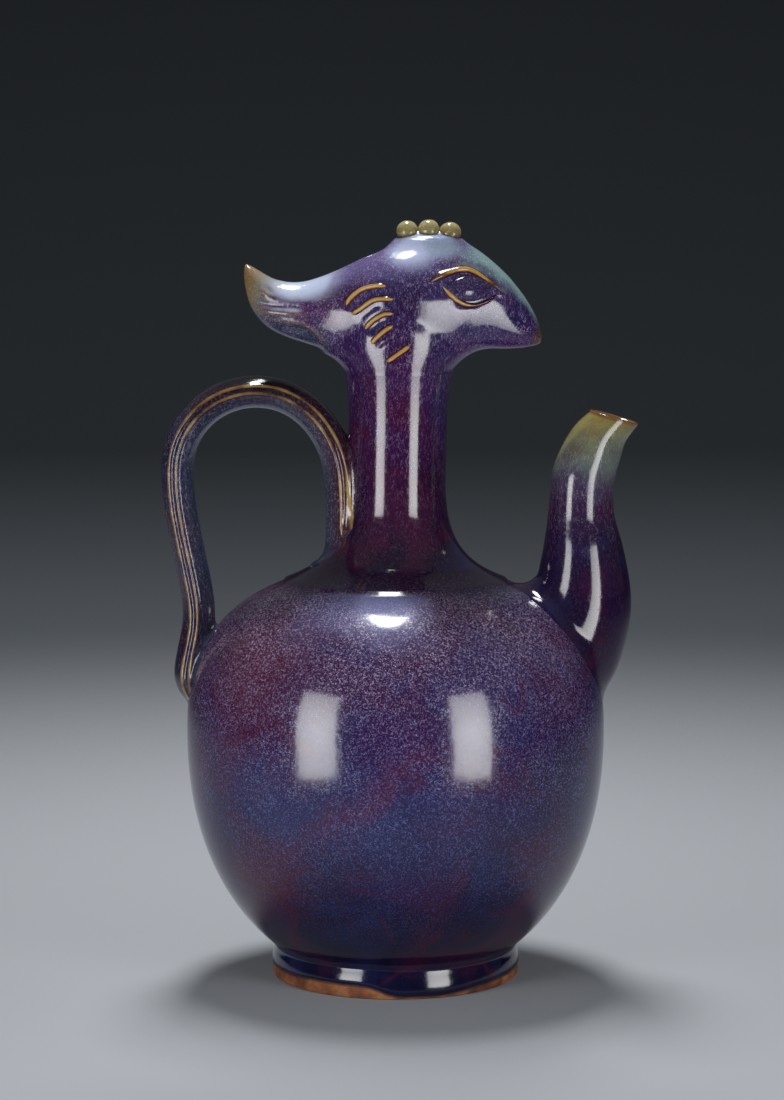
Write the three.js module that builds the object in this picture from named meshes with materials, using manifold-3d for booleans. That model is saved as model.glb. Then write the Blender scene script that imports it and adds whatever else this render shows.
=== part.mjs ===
// Phoenix-head ewer of glazed stoneware, in millimetres
// The origin is the centre of the foot on the surface it stands on, +Z is up, beak and spout point to +X

import * as THREE from 'three';
import { mergeVertices } from 'three/addons/utils/BufferGeometryUtils.js';
import Module from 'manifold-3d';

const wasm = await Module();
wasm.setup();

// Clearance where curved faces of two pieces meet, and how far a cut runs past what it cuts
const clearance = 0.3;
const overrun = 4;

// Foot ring
const footHeight = 12.6;
const footWall = 11;
const footFlare = 1.2;
const footChamfer = 1.6;

// Belly, thrown as two bowls that meet at the seam
const bellyRadius = 82.8;
const bellyDrop = 101.5;
const shoulderRise = 64.5;
const seamHeight = 99;
const bellyWall = 6;
const floorThickness = 7;
const bellyPower = 2.2;
const shoulderPower = 2.45;

// Neck with its flared root
const neckRadius = 19.4;
const neckWall = 5;
const neckFlareRadius = 45;
const neckFlareRise = 38;
const neckTopHeight = 240;
const neckTopFlare = 1.8;
const neckTopFlareRise = 20;
const neckLean = 1.2;
const neckJointShare = 0.3;

// Head, measured from the neck's axis and top
const headReach = 57.5;
const headBack = 20;
const headRise = 52;
const headWidth = 46;
const headWall = 5;
const hollowShares = [0.08, 0.83];
const fillHoleRadius = 4.5;
const fillHoleShare = 0.155;
const sectionPower = 2.2;
const sectionMiddleShare = 0.45;

// Crest
const crestLength = 39.6;
const crestWidth = 31;

// Crown of three beads on an oval pad
const crownShare = 0.425;
const crownSeatShare = 0.925;
const padLength = 31;
const padWidth = 19;
const padRise = 4.8;
const beadRadius = 4.05;
const beadSink = 0.8;

// Eyes, and the ridges that stand on the sides of the head
const eyeLength = 21;
const eyeHeight = 12;
const eyeBulge = 2.6;
const eyeSinkShare = 0.35;
const eyeShares = [0.627, 0.648];
const lidRadius = 1.5;
const featherRadius = 1.1;
const ridgeRiseShare = 0.45;

// Handle, which stands this far out past the side of the belly and arches up to just under the neck's top
const handleOverhang = 9.7;
const handleTopDrop = 1;
const handleFootHeight = 109;
const handleRootHeight = 163;
const handleThickness = 13;
const handleWidth = 22;
const handleTongueShare = 0.08;
const handleTongueTaper = 0.5;

// Spout, which stands this far out past the side of the belly
const spoutOverhang = 12.9;
const spoutMouthHeight = 222.8;
const spoutRootHeight = 136.5;
const spoutRootRadius = 26;
const spoutMouthRadius = 9.8;
const spoutWall = 3.4;
const spoutHoleRadius = 11;
const spoutRootDepth = 14;
const spoutSink = 4.2;

// Smoothness of the round forms
const bellySegments = 40;
const neckSegments = 32;
const ringPoints = 20;
const handleSteps = 34;

const finishes = {
  clay: { color: 0x8a4a26, roughness: 0.85 },
  belly: { color: 0x3a2350, roughness: 0.18 },
  shoulder: { color: 0x46315f, roughness: 0.16 },
  neck: { color: 0x3f2142, roughness: 0.15 },
  head: { color: 0x5b4a78, roughness: 0.16 },
  crest: { color: 0x7c88b4, roughness: 0.16 },
  crown: { color: 0xb9c6e2, roughness: 0.18 },
  bead: { color: 0xa8924f, roughness: 0.2 },
  eye: { color: 0x3f2c58, roughness: 0.14 },
  ridge: { color: 0xb5813a, roughness: 0.2 },
  handle: { color: 0x5a4258, roughness: 0.17 },
  spout: { color: 0x4a3a5c, roughness: 0.16 },
};

// Turns a three.js geometry into a solid whose faces point outwards
function solid(geometry) {
  const bare = geometry.clone();
  bare.deleteAttribute('normal');
  bare.deleteAttribute('uv');
  const welded = mergeVertices(bare);
  const position = welded.getAttribute('position');
  const index = welded.getIndex().array;
  const corners = [0, 1, 2].map(() => new THREE.Vector3());
  const triangles = [];
  let volume = 0;
  for (let start = 0; start < index.length; start += 3) {
    const [a, b, c] = index.slice(start, start + 3);
    if (a === b || b === c || c === a) continue;
    triangles.push([a, b, c]);
    [a, b, c].forEach((vertex, corner) => corners[corner].fromBufferAttribute(position, vertex));
    volume += corners[0].dot(corners[1].cross(corners[2]));
  }
  const outward = volume < 0 ? triangles.map(([a, b, c]) => [a, c, b]) : triangles;
  return new wasm.Manifold(new wasm.Mesh({
    numProp: 3,
    vertProperties: Float32Array.from(position.array),
    triVerts: Uint32Array.from(outward.flat()),
  }));
}

// Turns a solid back into a geometry
function surface(body) {
  const mesh = body.getMesh();
  const geometry = new THREE.BufferGeometry();
  geometry.setAttribute('position', new THREE.BufferAttribute(Float32Array.from(mesh.vertProperties), 3));
  geometry.setIndex(Array.from(mesh.triVerts));
  geometry.computeVertexNormals();
  return geometry;
}

// A body turned about the Z axis from [radius, height] points that close on themselves or on the axis
function lathe(profile, segments) {
  const points = profile.map(([radius, height]) => new THREE.Vector2(radius, height));
  return new THREE.LatheGeometry(points, segments).rotateX(Math.PI / 2);
}

// A closed body through rings of points, with a fan over each end
function loft(rings) {
  const count = rings[0].length;
  const points = rings.flat();
  const index = [];
  for (let ring = 0; ring < rings.length - 1; ring += 1) {
    for (let i = 0; i < count; i += 1) {
      const next = (i + 1) % count;
      const [here, there] = [ring * count, (ring + 1) * count];
      index.push(here + i, here + next, there + next, here + i, there + next, there + i);
    }
  }
  for (const end of [0, rings.length - 1]) {
    const middle = new THREE.Vector3();
    rings[end].forEach((point) => middle.addScaledVector(point, 1 / count));
    points.push(middle);
    for (let i = 0; i < count; i += 1) {
      const pair = [end * count + i, end * count + ((i + 1) % count)];
      index.push(points.length - 1, ...(end === 0 ? pair.reverse() : pair));
    }
  }
  const geometry = new THREE.BufferGeometry().setFromPoints(points);
  geometry.setIndex(index);
  return geometry;
}

// Rows read from a table of rows along a smooth curve, with steps rows to each gap
function smoothRows(rows, steps) {
  const row = (i) => rows[Math.min(Math.max(i, 0), rows.length - 1)];
  const result = [];
  for (let gap = 0; gap < rows.length - 1; gap += 1) {
    for (let step = 0; step < steps; step += 1) {
      const t = step / steps;
      result.push(row(gap).map((here, column) => {
        const [before, next, after] = [gap - 1, gap + 1, gap + 2].map((i) => row(i)[column]);
        const slope = (next - before) / 2;
        const nextSlope = (after - here) / 2;
        const rise = next - here;
        return here + slope * t + (3 * rise - 2 * slope - nextSlope) * t * t
          + (slope + nextSlope - 2 * rise) * t * t * t;
      }));
    }
  }
  result.push(row(rows.length - 1));
  return result;
}

// Radius of the belly and shoulder at a height
function bellyRadiusAt(height) {
  const above = height > seamHeight;
  const power = above ? shoulderPower : bellyPower;
  const share = Math.abs(height - seamHeight) / (above ? shoulderRise : bellyDrop);
  return bellyRadius * (1 - Math.min(share, 1) ** power) ** (1 / power);
}

// Points [radius, height] of the bowl between the seam and a height or a radius, grown by a margin
function bowlArc(above, margin, endShare, steps) {
  const reach = (above ? shoulderRise : bellyDrop) + margin;
  const power = above ? shoulderPower : bellyPower;
  const points = [];
  for (let step = 0; step <= steps; step += 1) {
    const angle = (endShare * step) / steps;
    const radius = (bellyRadius + margin) * Math.cos(angle) ** (2 / power);
    const height = reach * Math.sin(angle) ** (2 / power);
    points.push([radius, seamHeight + (above ? height : -height)]);
  }
  return points;
}

// Angle at which a bowl grown by a margin reaches a radius
const angleAtRadius = (radius, margin, power) => Math.acos((radius / (bellyRadius + margin)) ** (power / 2));

// Angle at which the lower bowl grown by a margin reaches a height
const angleAtHeight = (height, margin) => (
  Math.asin(((seamHeight - height) / (bellyDrop + margin)) ** (bellyPower / 2))
);

// Concave curve from the shoulder up to the straight neck, split between the shoulder and the neck
const neckBore = neckRadius - neckWall;
const neckFlareHeight = seamHeight
  + shoulderRise * (1 - (neckFlareRadius / bellyRadius) ** shoulderPower) ** (1 / shoulderPower);
const neckFlareShares = [[1, 0], [0.4, 0.15], [0, 0.365], [0, 1]];
const neckFlare = new THREE.CubicBezierCurve(...neckFlareShares.map(([outward, up]) => new THREE.Vector2(
  neckRadius + (neckFlareRadius - neckRadius) * outward,
  neckFlareHeight + neckFlareRise * up,
)));

// Points [radius, height] of that curve between two of its shares
function flareArc(from, to, steps) {
  const points = [];
  for (let step = 0; step <= steps; step += 1) {
    const { x, y } = neckFlare.getPoint(from + ((to - from) * step) / steps);
    points.push([x, y]);
  }
  return points;
}

const neckJointHeight = neckFlare.getPoint(neckJointShare).y;
const footWaistRadius = bellyRadiusAt(footHeight);
const footRadius = footWaistRadius + footFlare;

// Foot ring with a chamfered tread and an open recess under the floor
function footRing() {
  const innerRadius = footRadius - footWall;
  return lathe([
    [innerRadius, footChamfer],
    [innerRadius + footChamfer, 0],
    [footRadius - footChamfer, 0],
    [footRadius, footChamfer],
    [footWaistRadius, footHeight],
    [innerRadius, footHeight],
    [innerRadius, footChamfer],
  ], bellySegments);
}

// Lower bowl with its floor
function bodyLower() {
  const floorHeight = footHeight + floorThickness;
  const outer = bowlArc(false, 0, angleAtHeight(footHeight, 0), 8);
  const inner = bowlArc(false, -bellyWall, angleAtHeight(floorHeight, -bellyWall), 6);
  return lathe([[0, footHeight], ...outer.reverse(), ...inner, [0, floorHeight]], bellySegments);
}

// Outer profile of the upper bowl and its share of the neck's flare, grown by a margin
function shoulderProfile(margin) {
  const grown = (points) => points.map(([radius, height]) => [radius + margin, height + margin]);
  const arc = bowlArc(true, margin, angleAtRadius(neckFlareRadius, 0, shoulderPower), 7);
  return [...arc, ...grown(flareArc(0, neckJointShare, 3)).slice(1)];
}

// Upper bowl, with the bore of the neck and the hole of the spout through its wall
function bodyUpper() {
  const inner = bowlArc(true, -bellyWall, angleAtRadius(neckBore, -bellyWall, shoulderPower), 5);
  const outer = shoulderProfile(0);
  const profile = [...outer, [neckBore, neckJointHeight], ...inner.reverse(), outer[0]];
  return surface(solid(lathe(profile, bellySegments)).subtract(solid(spoutHole())));
}

// Body of the shoulder grown by the clearance, which trims what is luted to it
function shoulderTrim() {
  const profile = shoulderProfile(clearance);
  const top = profile[profile.length - 1][1];
  const bottom = bowlArc(false, clearance, angleAtHeight(footHeight, clearance), 6).slice(1).reverse();
  return solid(lathe([[0, footHeight], ...bottom, ...profile, [0, top]], bellySegments));
}

// Outer profile of the neck, grown by a margin
function neckProfile(margin) {
  const topFlare = new THREE.QuadraticBezierCurve(
    new THREE.Vector2(neckRadius, neckTopHeight - neckTopFlareRise),
    new THREE.Vector2(neckRadius, neckTopHeight - neckTopFlareRise / 3),
    new THREE.Vector2(neckRadius + neckTopFlare, neckTopHeight),
  );
  const top = topFlare.getPoints(4).map(({ x, y }) => [x, y]);
  return [...flareArc(neckJointShare, 1, 7), ...top].map(([radius, height]) => [radius + margin, height]);
}

// Leans a neck piece forward, from nothing at the joint to the full lean at its top
function lean(geometry) {
  const position = geometry.getAttribute('position');
  for (let i = 0; i < position.count; i += 1) {
    const share = (position.getZ(i) - neckJointHeight) / (neckTopHeight - neckJointHeight);
    position.setX(i, position.getX(i) + neckLean * Math.min(Math.max(share, 0), 1));
  }
  return geometry;
}

// Neck tube
function neck() {
  const outer = neckProfile(0);
  const bore = [[neckBore, neckTopHeight], [neckBore, neckJointHeight]];
  return lean(lathe([...outer, ...bore, outer[0]], neckSegments));
}

// Body of the neck grown by the clearance, which trims the handle
function neckTrim() {
  const outer = neckProfile(clearance);
  return solid(lean(lathe([[0, outer[0][1]], ...outer, [0, neckTopHeight]], neckSegments)));
}

// Sections of the head: [along, top, bottom, half width] as shares of its length, rise, rise and half width
const headShares = [
  [0, 0.8, 0.06, 0.67],
  [0.1, 0.865, 0.035, 0.83],
  [0.2, 0.91, 0.03, 0.93],
  [0.3, 0.945, 0.03, 0.98],
  [0.43, 0.96, 0.03, 1],
  [0.54, 0.945, 0.05, 0.97],
  [0.6, 0.935, 0.11, 0.92],
  [0.66, 0.915, 0.165, 0.84],
  [0.74, 0.855, 0.18, 0.7],
  [0.82, 0.745, 0.18, 0.54],
  [0.89, 0.615, 0.185, 0.39],
  [0.95, 0.475, 0.2, 0.24],
  [0.985, 0.365, 0.21, 0.14],
  [1, 0.3, 0.235, 0.05],
];

// Sections of the crest, from the head to its tip, as shares of its length and width and of the head's rise
const crestShares = [
  [0, 0.8, 0.035, 0.98],
  [0.1, 0.765, 0.13, 0.95],
  [0.23, 0.725, 0.185, 0.9],
  [0.38, 0.69, 0.222, 0.84],
  [0.53, 0.683, 0.26, 0.76],
  [0.68, 0.705, 0.305, 0.68],
  [0.81, 0.757, 0.375, 0.56],
  [0.91, 0.8, 0.465, 0.4],
  [0.97, 0.824, 0.56, 0.24],
  [1, 0.77, 0.69, 0.08],
];

// Section sizes in millimetres: x, top, bottom and half width, each drawn in or out by a margin
function sectionRow([along, top, bottom, wide], start, length, halfWidth, margin) {
  return {
    x: start + length * along,
    top: neckTopHeight + headRise * top + margin,
    bottom: neckTopHeight + headRise * bottom - margin,
    half: halfWidth * wide + margin,
  };
}

const headRow = (row, margin) => sectionRow(row, -headBack, headBack + headReach, headWidth / 2, margin);
const crestRow = (row, margin) => sectionRow(row, -headBack, -crestLength, crestWidth / 2, margin);

// One upright oval ring of points at a section
function sectionRing({ x, top, bottom, half }) {
  const middle = bottom + (top - bottom) * sectionMiddleShare;
  const ring = [];
  for (let i = 0; i < ringPoints; i += 1) {
    const angle = (2 * Math.PI * i) / ringPoints;
    const curve = (value) => Math.sign(value) * Math.abs(value) ** (2 / sectionPower);
    const [across, up] = [curve(Math.cos(angle)), curve(Math.sin(angle))];
    ring.push(new THREE.Vector3(x, half * across, middle + up * (up > 0 ? top - middle : middle - bottom)));
  }
  return ring;
}

const headRows = smoothRows(headShares, 2);

// Rings [height, forward half, sideways half] that carry the round neck into the head, as shares
const throatShares = [[0, 1, 1], [0.06, 1.1, 1.015], [0.12, 1.25, 1.03], [0.165, 1.42, 1.04], [0.3, 1.3, 1.04]];

function throatRings(margin) {
  const radius = neckRadius + neckTopFlare;
  return throatShares.map(([up, forward, sideways]) => {
    const ring = [];
    for (let i = 0; i < neckSegments; i += 1) {
      const angle = (2 * Math.PI * i) / neckSegments;
      ring.push(new THREE.Vector3(
        neckLean + (radius * forward + margin) * Math.cos(angle),
        (radius * sideways + margin) * Math.sin(angle),
        neckTopHeight + headRise * up,
      ));
    }
    return ring;
  });
}

// A box from one corner to another
function block(low, high) {
  const size = high.clone().sub(low);
  const middle = low.clone().add(high).multiplyScalar(1 / 2);
  return solid(new THREE.BoxGeometry(size.x, size.y, size.z).translate(middle.x, middle.y, middle.z));
}

// Everything in front of the crest's joint and above the neck's joint, on one side or on both
function headSpace(sides) {
  const width = headWidth / 2 + overrun;
  const low = new THREE.Vector3(-headBack, sides.includes('near') ? -width : 0, neckTopHeight);
  const high = new THREE.Vector3(headReach + overrun, sides.includes('far') ? width : 0,
    neckTopHeight + headRise + overrun);
  return block(low, high);
}

// Outside of the head with its throat, grown by a margin
function headOutside(margin) {
  const skull = solid(loft(headRows.map((row) => sectionRing(headRow(row, margin)))));
  return skull.add(solid(loft(throatRings(margin))));
}

// Half width of the head at a place on its side
function headSideAt(x, z) {
  const along = (x + headBack) / (headBack + headReach);
  const next = Math.max(1, headRows.findIndex((row) => row[0] >= along));
  const [before, after] = [headRows[next - 1], headRows[next]];
  const t = (along - before[0]) / (after[0] - before[0]);
  const { top, bottom, half } = headRow(before.map((value, i) => value + (after[i] - value) * t), 0);
  const middle = bottom + (top - bottom) * sectionMiddleShare;
  const up = Math.min(Math.abs(z - middle) / (z > middle ? top - middle : middle - bottom), 1);
  const skull = half * (1 - up ** sectionPower) ** (1 / sectionPower);
  const throatHeight = headRise * throatShares[throatShares.length - 1][0];
  if (z > neckTopHeight + throatHeight) return skull;
  const [, forward, sideways] = smoothRows(throatShares, 4).find(([share]) => z <= neckTopHeight + headRise * share);
  const radius = neckRadius + neckTopFlare;
  const round = Math.min(Math.abs(x - neckLean) / (radius * forward), 1);
  return Math.max(skull, radius * sideways * Math.sqrt(1 - round * round));
}

// Place of the eye, and its turn to lie along the side of the head
const eyeX = eyeShares[0] * (headBack + headReach) - headBack;
const eyeZ = neckTopHeight + headRise * eyeShares[1];

function eyeBody(side, margin) {
  const step = eyeLength / 4;
  const drop = headSideAt(eyeX - step, eyeZ) - headSideAt(eyeX + step, eyeZ);
  const lift = headSideAt(eyeX, eyeZ - eyeHeight / 4) - headSideAt(eyeX, eyeZ + eyeHeight / 4);
  const geometry = new THREE.SphereGeometry(1, 16, 10);
  geometry.scale(eyeLength / 2 + margin, eyeBulge + margin, eyeHeight / 2 + margin);
  geometry.rotateX(-side * Math.atan2(lift, eyeHeight / 2));
  geometry.rotateZ(-side * Math.atan2(drop, 2 * step));
  geometry.translate(eyeX, side * (headSideAt(eyeX, eyeZ) - eyeBulge * eyeSinkShare), eyeZ);
  return solid(geometry);
}

// Crown pad: the upper half of an oval dome on its flat seat
const crownX = crownShare * (headBack + headReach) - headBack;
const crownSeat = neckTopHeight + headRise * crownSeatShare;

function padBody(margin) {
  const dome = new THREE.SphereGeometry(1, 24, 10);
  dome.rotateX(Math.PI / 2);
  dome.scale(padLength / 2 + margin, padWidth / 2 + margin, padRise + margin);
  dome.translate(crownX, 0, crownSeat);
  const low = new THREE.Vector3(crownX - padLength, -padWidth, crownSeat);
  const high = new THREE.Vector3(crownX + padLength, padWidth, crownSeat + padRise + overrun);
  return solid(dome).intersect(block(low, high));
}

// Flat seat that the pad needs on the round top of the head
function padSeat() {
  const height = headRise;
  const seat = new THREE.CylinderGeometry(1, 1, height, 24);
  seat.rotateX(Math.PI / 2);
  seat.scale(padLength / 2 + clearance, padWidth / 2 + clearance, 1);
  return solid(seat.translate(crownX, 0, crownSeat + height / 2));
}

// Hollow of the head with the bore of the neck and the filling hole behind the crown
function headHollow() {
  const [rear, front] = hollowShares;
  const inside = headShares.filter(([along]) => along > rear && along < front);
  const hollow = solid(loft(inside.map((row) => sectionRing(headRow(row, -headWall)))));
  const boreHeight = headRise / 3;
  const bore = new THREE.CylinderGeometry(neckBore, neckBore, boreHeight + overrun, neckSegments);
  bore.rotateX(Math.PI / 2);
  bore.translate(neckLean, 0, neckTopHeight + (boreHeight - overrun) / 2);
  const hole = new THREE.CylinderGeometry(fillHoleRadius, fillHoleRadius, headRise, ringPoints);
  hole.rotateX(Math.PI / 2);
  const holeX = fillHoleShare * (headBack + headReach) - headBack;
  hole.translate(holeX, 0, neckTopHeight + headRise);
  return hollow.add(solid(bore)).add(solid(hole));
}

// One moulded half of the head
function headHalf(sideName) {
  const side = sideName === 'near' ? -1 : 1;
  const half = headOutside(0).intersect(headSpace([sideName]));
  const carved = half.subtract(headHollow()).subtract(padSeat()).subtract(eyeBody(side, clearance));
  return surface(carved);
}

// Crest
function crest() {
  return surface(solid(loft(crestShares.map((row) => sectionRing(crestRow(row, 0))))));
}

// Beads in a row along the crown, each trimmed to the pad's dome
function crownBead(place) {
  const offset = place * (2 * beadRadius + clearance);
  const dome = padRise * Math.sqrt(1 - (offset / (padLength / 2)) ** 2);
  const ball = new THREE.SphereGeometry(beadRadius, 14, 8);
  ball.translate(crownX + offset, 0, crownSeat + dome + beadRadius - beadSink);
  return surface(solid(ball).subtract(padBody(clearance)));
}

// A round ridge that follows the side of the head through [along, up] places
function ridge(places, side, radius) {
  const points = places.map(([x, z]) => (
    new THREE.Vector3(x, side * (headSideAt(x, z) + radius * ridgeRiseShare), z)
  ));
  const path = new THREE.CatmullRomCurve3(points);
  const shape = new THREE.Shape().absarc(0, 0, radius, 0, 2 * Math.PI);
  const geometry = new THREE.ExtrudeGeometry(shape, {
    steps: 3 * (points.length - 1),
    curveSegments: 3,
    bevelEnabled: false,
    extrudePath: path,
  });
  return solid(geometry);
}

// Lids: places round the eye as shares of its length and height
const lidShares = {
  upper: [[-0.7, 0.24], [-0.48, 0.47], [-0.14, 0.66], [0.12, 0.54], [0.38, 0.2], [0.62, -0.16]],
  lower: [[-0.5, 0.1], [-0.34, -0.24], [-0.1, -0.53], [0.14, -0.58], [0.36, -0.44], [0.5, -0.24]],
};

function eyelid(which, side) {
  const places = lidShares[which].map(([along, up]) => [eyeX + eyeLength * along, eyeZ + eyeHeight * up]);
  const lid = ridge(places, side, lidRadius);
  return surface(lid.subtract(headOutside(clearance)).subtract(eyeBody(side, clearance)));
}

// Cheek feathers: start, middle and end as shares of the head's length and rise, from the top down
const featherShares = [
  [[0.022, 0.53], [0.09, 0.64], [0.21, 0.665]],
  [[0.04, 0.455], [0.14, 0.56], [0.245, 0.568]],
  [[0.108, 0.347], [0.16, 0.43], [0.245, 0.462]],
  [[0.139, 0.238], [0.18, 0.31], [0.245, 0.376]],
  [[0.217, 0.108], [0.275, 0.172], [0.33, 0.226]],
];

function cheekFeather(number, side) {
  const places = featherShares[number].map(([along, up]) => (
    [along * (headBack + headReach) - headBack, neckTopHeight + headRise * up]
  ));
  return surface(ridge(places, side, featherRadius).subtract(headOutside(clearance)));
}

// Handle: centre line as [out from the neck, up] shares of the arch, then [sink, down] shares at the belly
const handleArchShares = [
  [0.005, 0],
  [0, 0.25],
  [0.005, 0.53],
  [0.09, 0.765],
  [0.26, 0.93],
  [0.5, 1],
  [0.75, 0.95],
  [0.94, 0.78],
  [1, 0.52],
  [0.96, 0.2],
  [0.9, -0.07],
];
const handleFootShares = [[0.62, 0.29], [0.23, 0.18], [0.05, 0.09], [-0.3, 0]];

// Ribs and flutes round the strap: [degrees from the near edge, share of the full outline]
const strapShares = [
  [0, 1], [18, 0.9], [36, 1], [52, 0.94], [70, 0.975], [90, 1], [110, 0.975], [128, 0.94],
  [144, 1], [162, 0.9], [180, 1], [198, 0.93], [228, 0.96], [270, 1], [312, 0.96], [342, 0.93],
];

function handle() {
  const innerX = -(neckRadius - neckLean) - handleThickness / 4;
  const outerX = -(bellyRadius + handleOverhang - handleThickness / 2);
  const archTop = neckTopHeight - handleTopDrop - handleThickness / 2;
  const arch = handleArchShares.map(([out, up]) => [
    innerX + (outerX - innerX) * out,
    handleRootHeight + (archTop - handleRootHeight) * up,
  ]);
  const foot = handleFootShares.map(([proud, up]) => {
    const height = handleFootHeight + (seamHeight + shoulderRise - handleFootHeight) * 2 * up;
    return [-(bellyRadiusAt(height) + handleThickness * proud), height];
  });
  const path = new THREE.CatmullRomCurve3([...arch, ...foot].map(([x, z]) => new THREE.Vector3(x, 0, z)));
  const rings = [];
  for (let step = 0; step <= handleSteps; step += 1) {
    const share = step / handleSteps;
    const centre = path.getPointAt(share);
    const tangent = path.getTangentAt(share);
    const outward = new THREE.Vector3(tangent.z, 0, -tangent.x);
    const tongue = Math.max(0, (share - 1 + handleTongueShare) / handleTongueShare);
    const taper = 1 - handleTongueTaper * tongue ** 2;
    rings.push(strapShares.map(([degrees, share]) => {
      const angle = THREE.MathUtils.degToRad(degrees);
      const point = centre.clone().addScaledVector(outward, handleThickness / 2 * taper * share * Math.sin(angle));
      point.y = -handleWidth / 2 * taper * share * Math.cos(angle);
      return point;
    }));
  }
  return surface(solid(loft(rings)).subtract(shoulderTrim()).subtract(neckTrim()));
}

// Spout: [out, up, girth, flatness, tilt in degrees] from the belly to the mouth
const spoutShares = [
  [0, 0, 1, 0.79, 54],
  [0.265, 0.102, 0.815, 0.85, 41.5],
  [0.389, 0.258, 0.62, 0.91, 26],
  [0.349, 0.429, 0.383, 0.97, 14.5],
  [0.259, 0.57, 0.198, 1, 5.5],
  [0.299, 0.724, 0.164, 1, 7],
  [0.479, 0.835, 0.117, 1, 15.5],
  [0.687, 0.924, 0.04, 1, 18],
  [1, 1, 0, 1, 16],
];

const spoutRootX = bellyRadiusAt(spoutRootHeight) - spoutSink;
const spoutMouthTilt = THREE.MathUtils.degToRad(spoutShares.at(-1)[4]);
const spoutMouthX = bellyRadius + spoutOverhang - spoutMouthRadius * Math.cos(spoutMouthTilt);

// Direction that a section of the spout faces
function spoutFacing(tilt) {
  const angle = THREE.MathUtils.degToRad(tilt);
  return new THREE.Vector3(Math.sin(angle), 0, Math.cos(angle));
}

// Rings of the spout through a table's rows, drawn in by a wall and run on past both ends by given lengths
function spoutRings(rows, wall, runIn, runOut) {
  const ringOf = ([out, up, girth, flatness, tilt], shift) => {
    const radius = spoutMouthRadius + (spoutRootRadius - spoutMouthRadius) * girth;
    const facing = spoutFacing(tilt);
    const along = new THREE.Vector3(facing.z, 0, -facing.x);
    const centre = new THREE.Vector3(
      spoutRootX + (spoutMouthX - spoutRootX) * out,
      0,
      spoutRootHeight + (spoutMouthHeight - spoutRootHeight) * up,
    ).addScaledVector(facing, shift);
    const ring = [];
    for (let i = 0; i < ringPoints; i += 1) {
      const angle = (2 * Math.PI * i) / ringPoints;
      const point = centre.clone().addScaledVector(along, (radius - wall) * Math.cos(angle));
      point.y = (radius * flatness - wall) * Math.sin(angle);
      ring.push(point);
    }
    return ring;
  };
  const rings = rows.map((row) => ringOf(row, 0));
  rings.unshift(ringOf(rows[0], -runIn));
  if (runOut > 0) rings.push(ringOf(rows[rows.length - 1], runOut));
  return rings;
}

function spout() {
  const outside = solid(loft(spoutRings(smoothRows(spoutShares, 2), 0, spoutRootDepth, 0)));
  const channel = solid(loft(spoutRings(spoutShares, spoutWall, spoutRootDepth + overrun, overrun)));
  return surface(outside.subtract(channel).subtract(shoulderTrim()));
}

// Round hole through the wall of the belly, under the root of the spout
function spoutHole() {
  const length = 2 * (bellyWall + spoutRootDepth);
  const hole = new THREE.CylinderGeometry(spoutHoleRadius, spoutHoleRadius, length, ringPoints);
  hole.rotateX(Math.PI / 2);
  hole.rotateY(THREE.MathUtils.degToRad(spoutShares[0][4]));
  return hole.translate(spoutRootX, 0, spoutRootHeight);
}

// The ewer, put together from the foot up
const ewer = new THREE.Group();

function add(name, finish, geometry) {
  const mesh = new THREE.Mesh(geometry, new THREE.MeshStandardMaterial({ ...finishes[finish], metalness: 0 }));
  mesh.name = name;
  ewer.add(mesh);
}

add('foot_ring', 'clay', footRing());
add('body_lower', 'belly', bodyLower());
add('body_upper', 'shoulder', bodyUpper());
add('neck', 'neck', neck());
add('head_near_half', 'head', headHalf('near'));
add('head_far_half', 'head', headHalf('far'));
add('crest', 'crest', crest());
add('crown_pad', 'crown', surface(padBody(0)));
['rear', 'middle', 'front'].forEach((name, i) => add(`crown_bead_${name}`, 'bead', crownBead(i - 1)));
for (const [name, side] of [['near', -1], ['far', 1]]) {
  add(`eyeball_${name}`, 'eye', surface(eyeBody(side, 0)));
  add(`eyelid_upper_${name}`, 'ridge', eyelid('upper', side));
  add(`eyelid_lower_${name}`, 'ridge', eyelid('lower', side));
  featherShares.forEach((_, i) => add(`cheek_feather_${name}_${i + 1}`, 'ridge', cheekFeather(i, side)));
}
add('handle', 'handle', handle());
add('spout', 'spout', spout());

export default ewer;
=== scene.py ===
# Phoenix-head ewer of glazed stoneware, standing on its foot ring, with the beak and the spout to +X

import math

import bmesh
import bpy
import numpy
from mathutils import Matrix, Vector, noise
from mathutils.bvhtree import BVHTree


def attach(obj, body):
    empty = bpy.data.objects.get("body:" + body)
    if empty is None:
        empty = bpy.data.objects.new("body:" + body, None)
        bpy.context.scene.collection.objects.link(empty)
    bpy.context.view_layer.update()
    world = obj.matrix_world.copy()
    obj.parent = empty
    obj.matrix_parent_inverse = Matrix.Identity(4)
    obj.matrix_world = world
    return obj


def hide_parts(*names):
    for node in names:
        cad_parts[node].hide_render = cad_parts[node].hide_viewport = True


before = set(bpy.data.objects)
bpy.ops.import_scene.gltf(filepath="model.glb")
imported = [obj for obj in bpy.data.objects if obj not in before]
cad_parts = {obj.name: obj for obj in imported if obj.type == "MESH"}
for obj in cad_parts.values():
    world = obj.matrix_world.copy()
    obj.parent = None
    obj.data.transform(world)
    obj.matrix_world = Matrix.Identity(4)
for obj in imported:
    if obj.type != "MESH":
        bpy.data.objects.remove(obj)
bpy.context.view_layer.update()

# Foot ring
# Stoneware clay, turned on the wheel with the floor of the belly and wiped clean of glaze where it stands.
# The bare tread burns orange in the kiln, with turning marks and dark iron specks.

MM = 0.001
FOOT_HEIGHT = 12.6
FOOT_RADIUS = 49.0
FOOT_WAIST = 47.8
FOOT_WALL = 11.0
FOOT_INNER = FOOT_RADIUS - FOOT_WALL
FOOT_CHAMFER = 1.4
FOOT_EASE = 0.4
ROUND_STEPS = 144
WELD = 0.001 * MM


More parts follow.
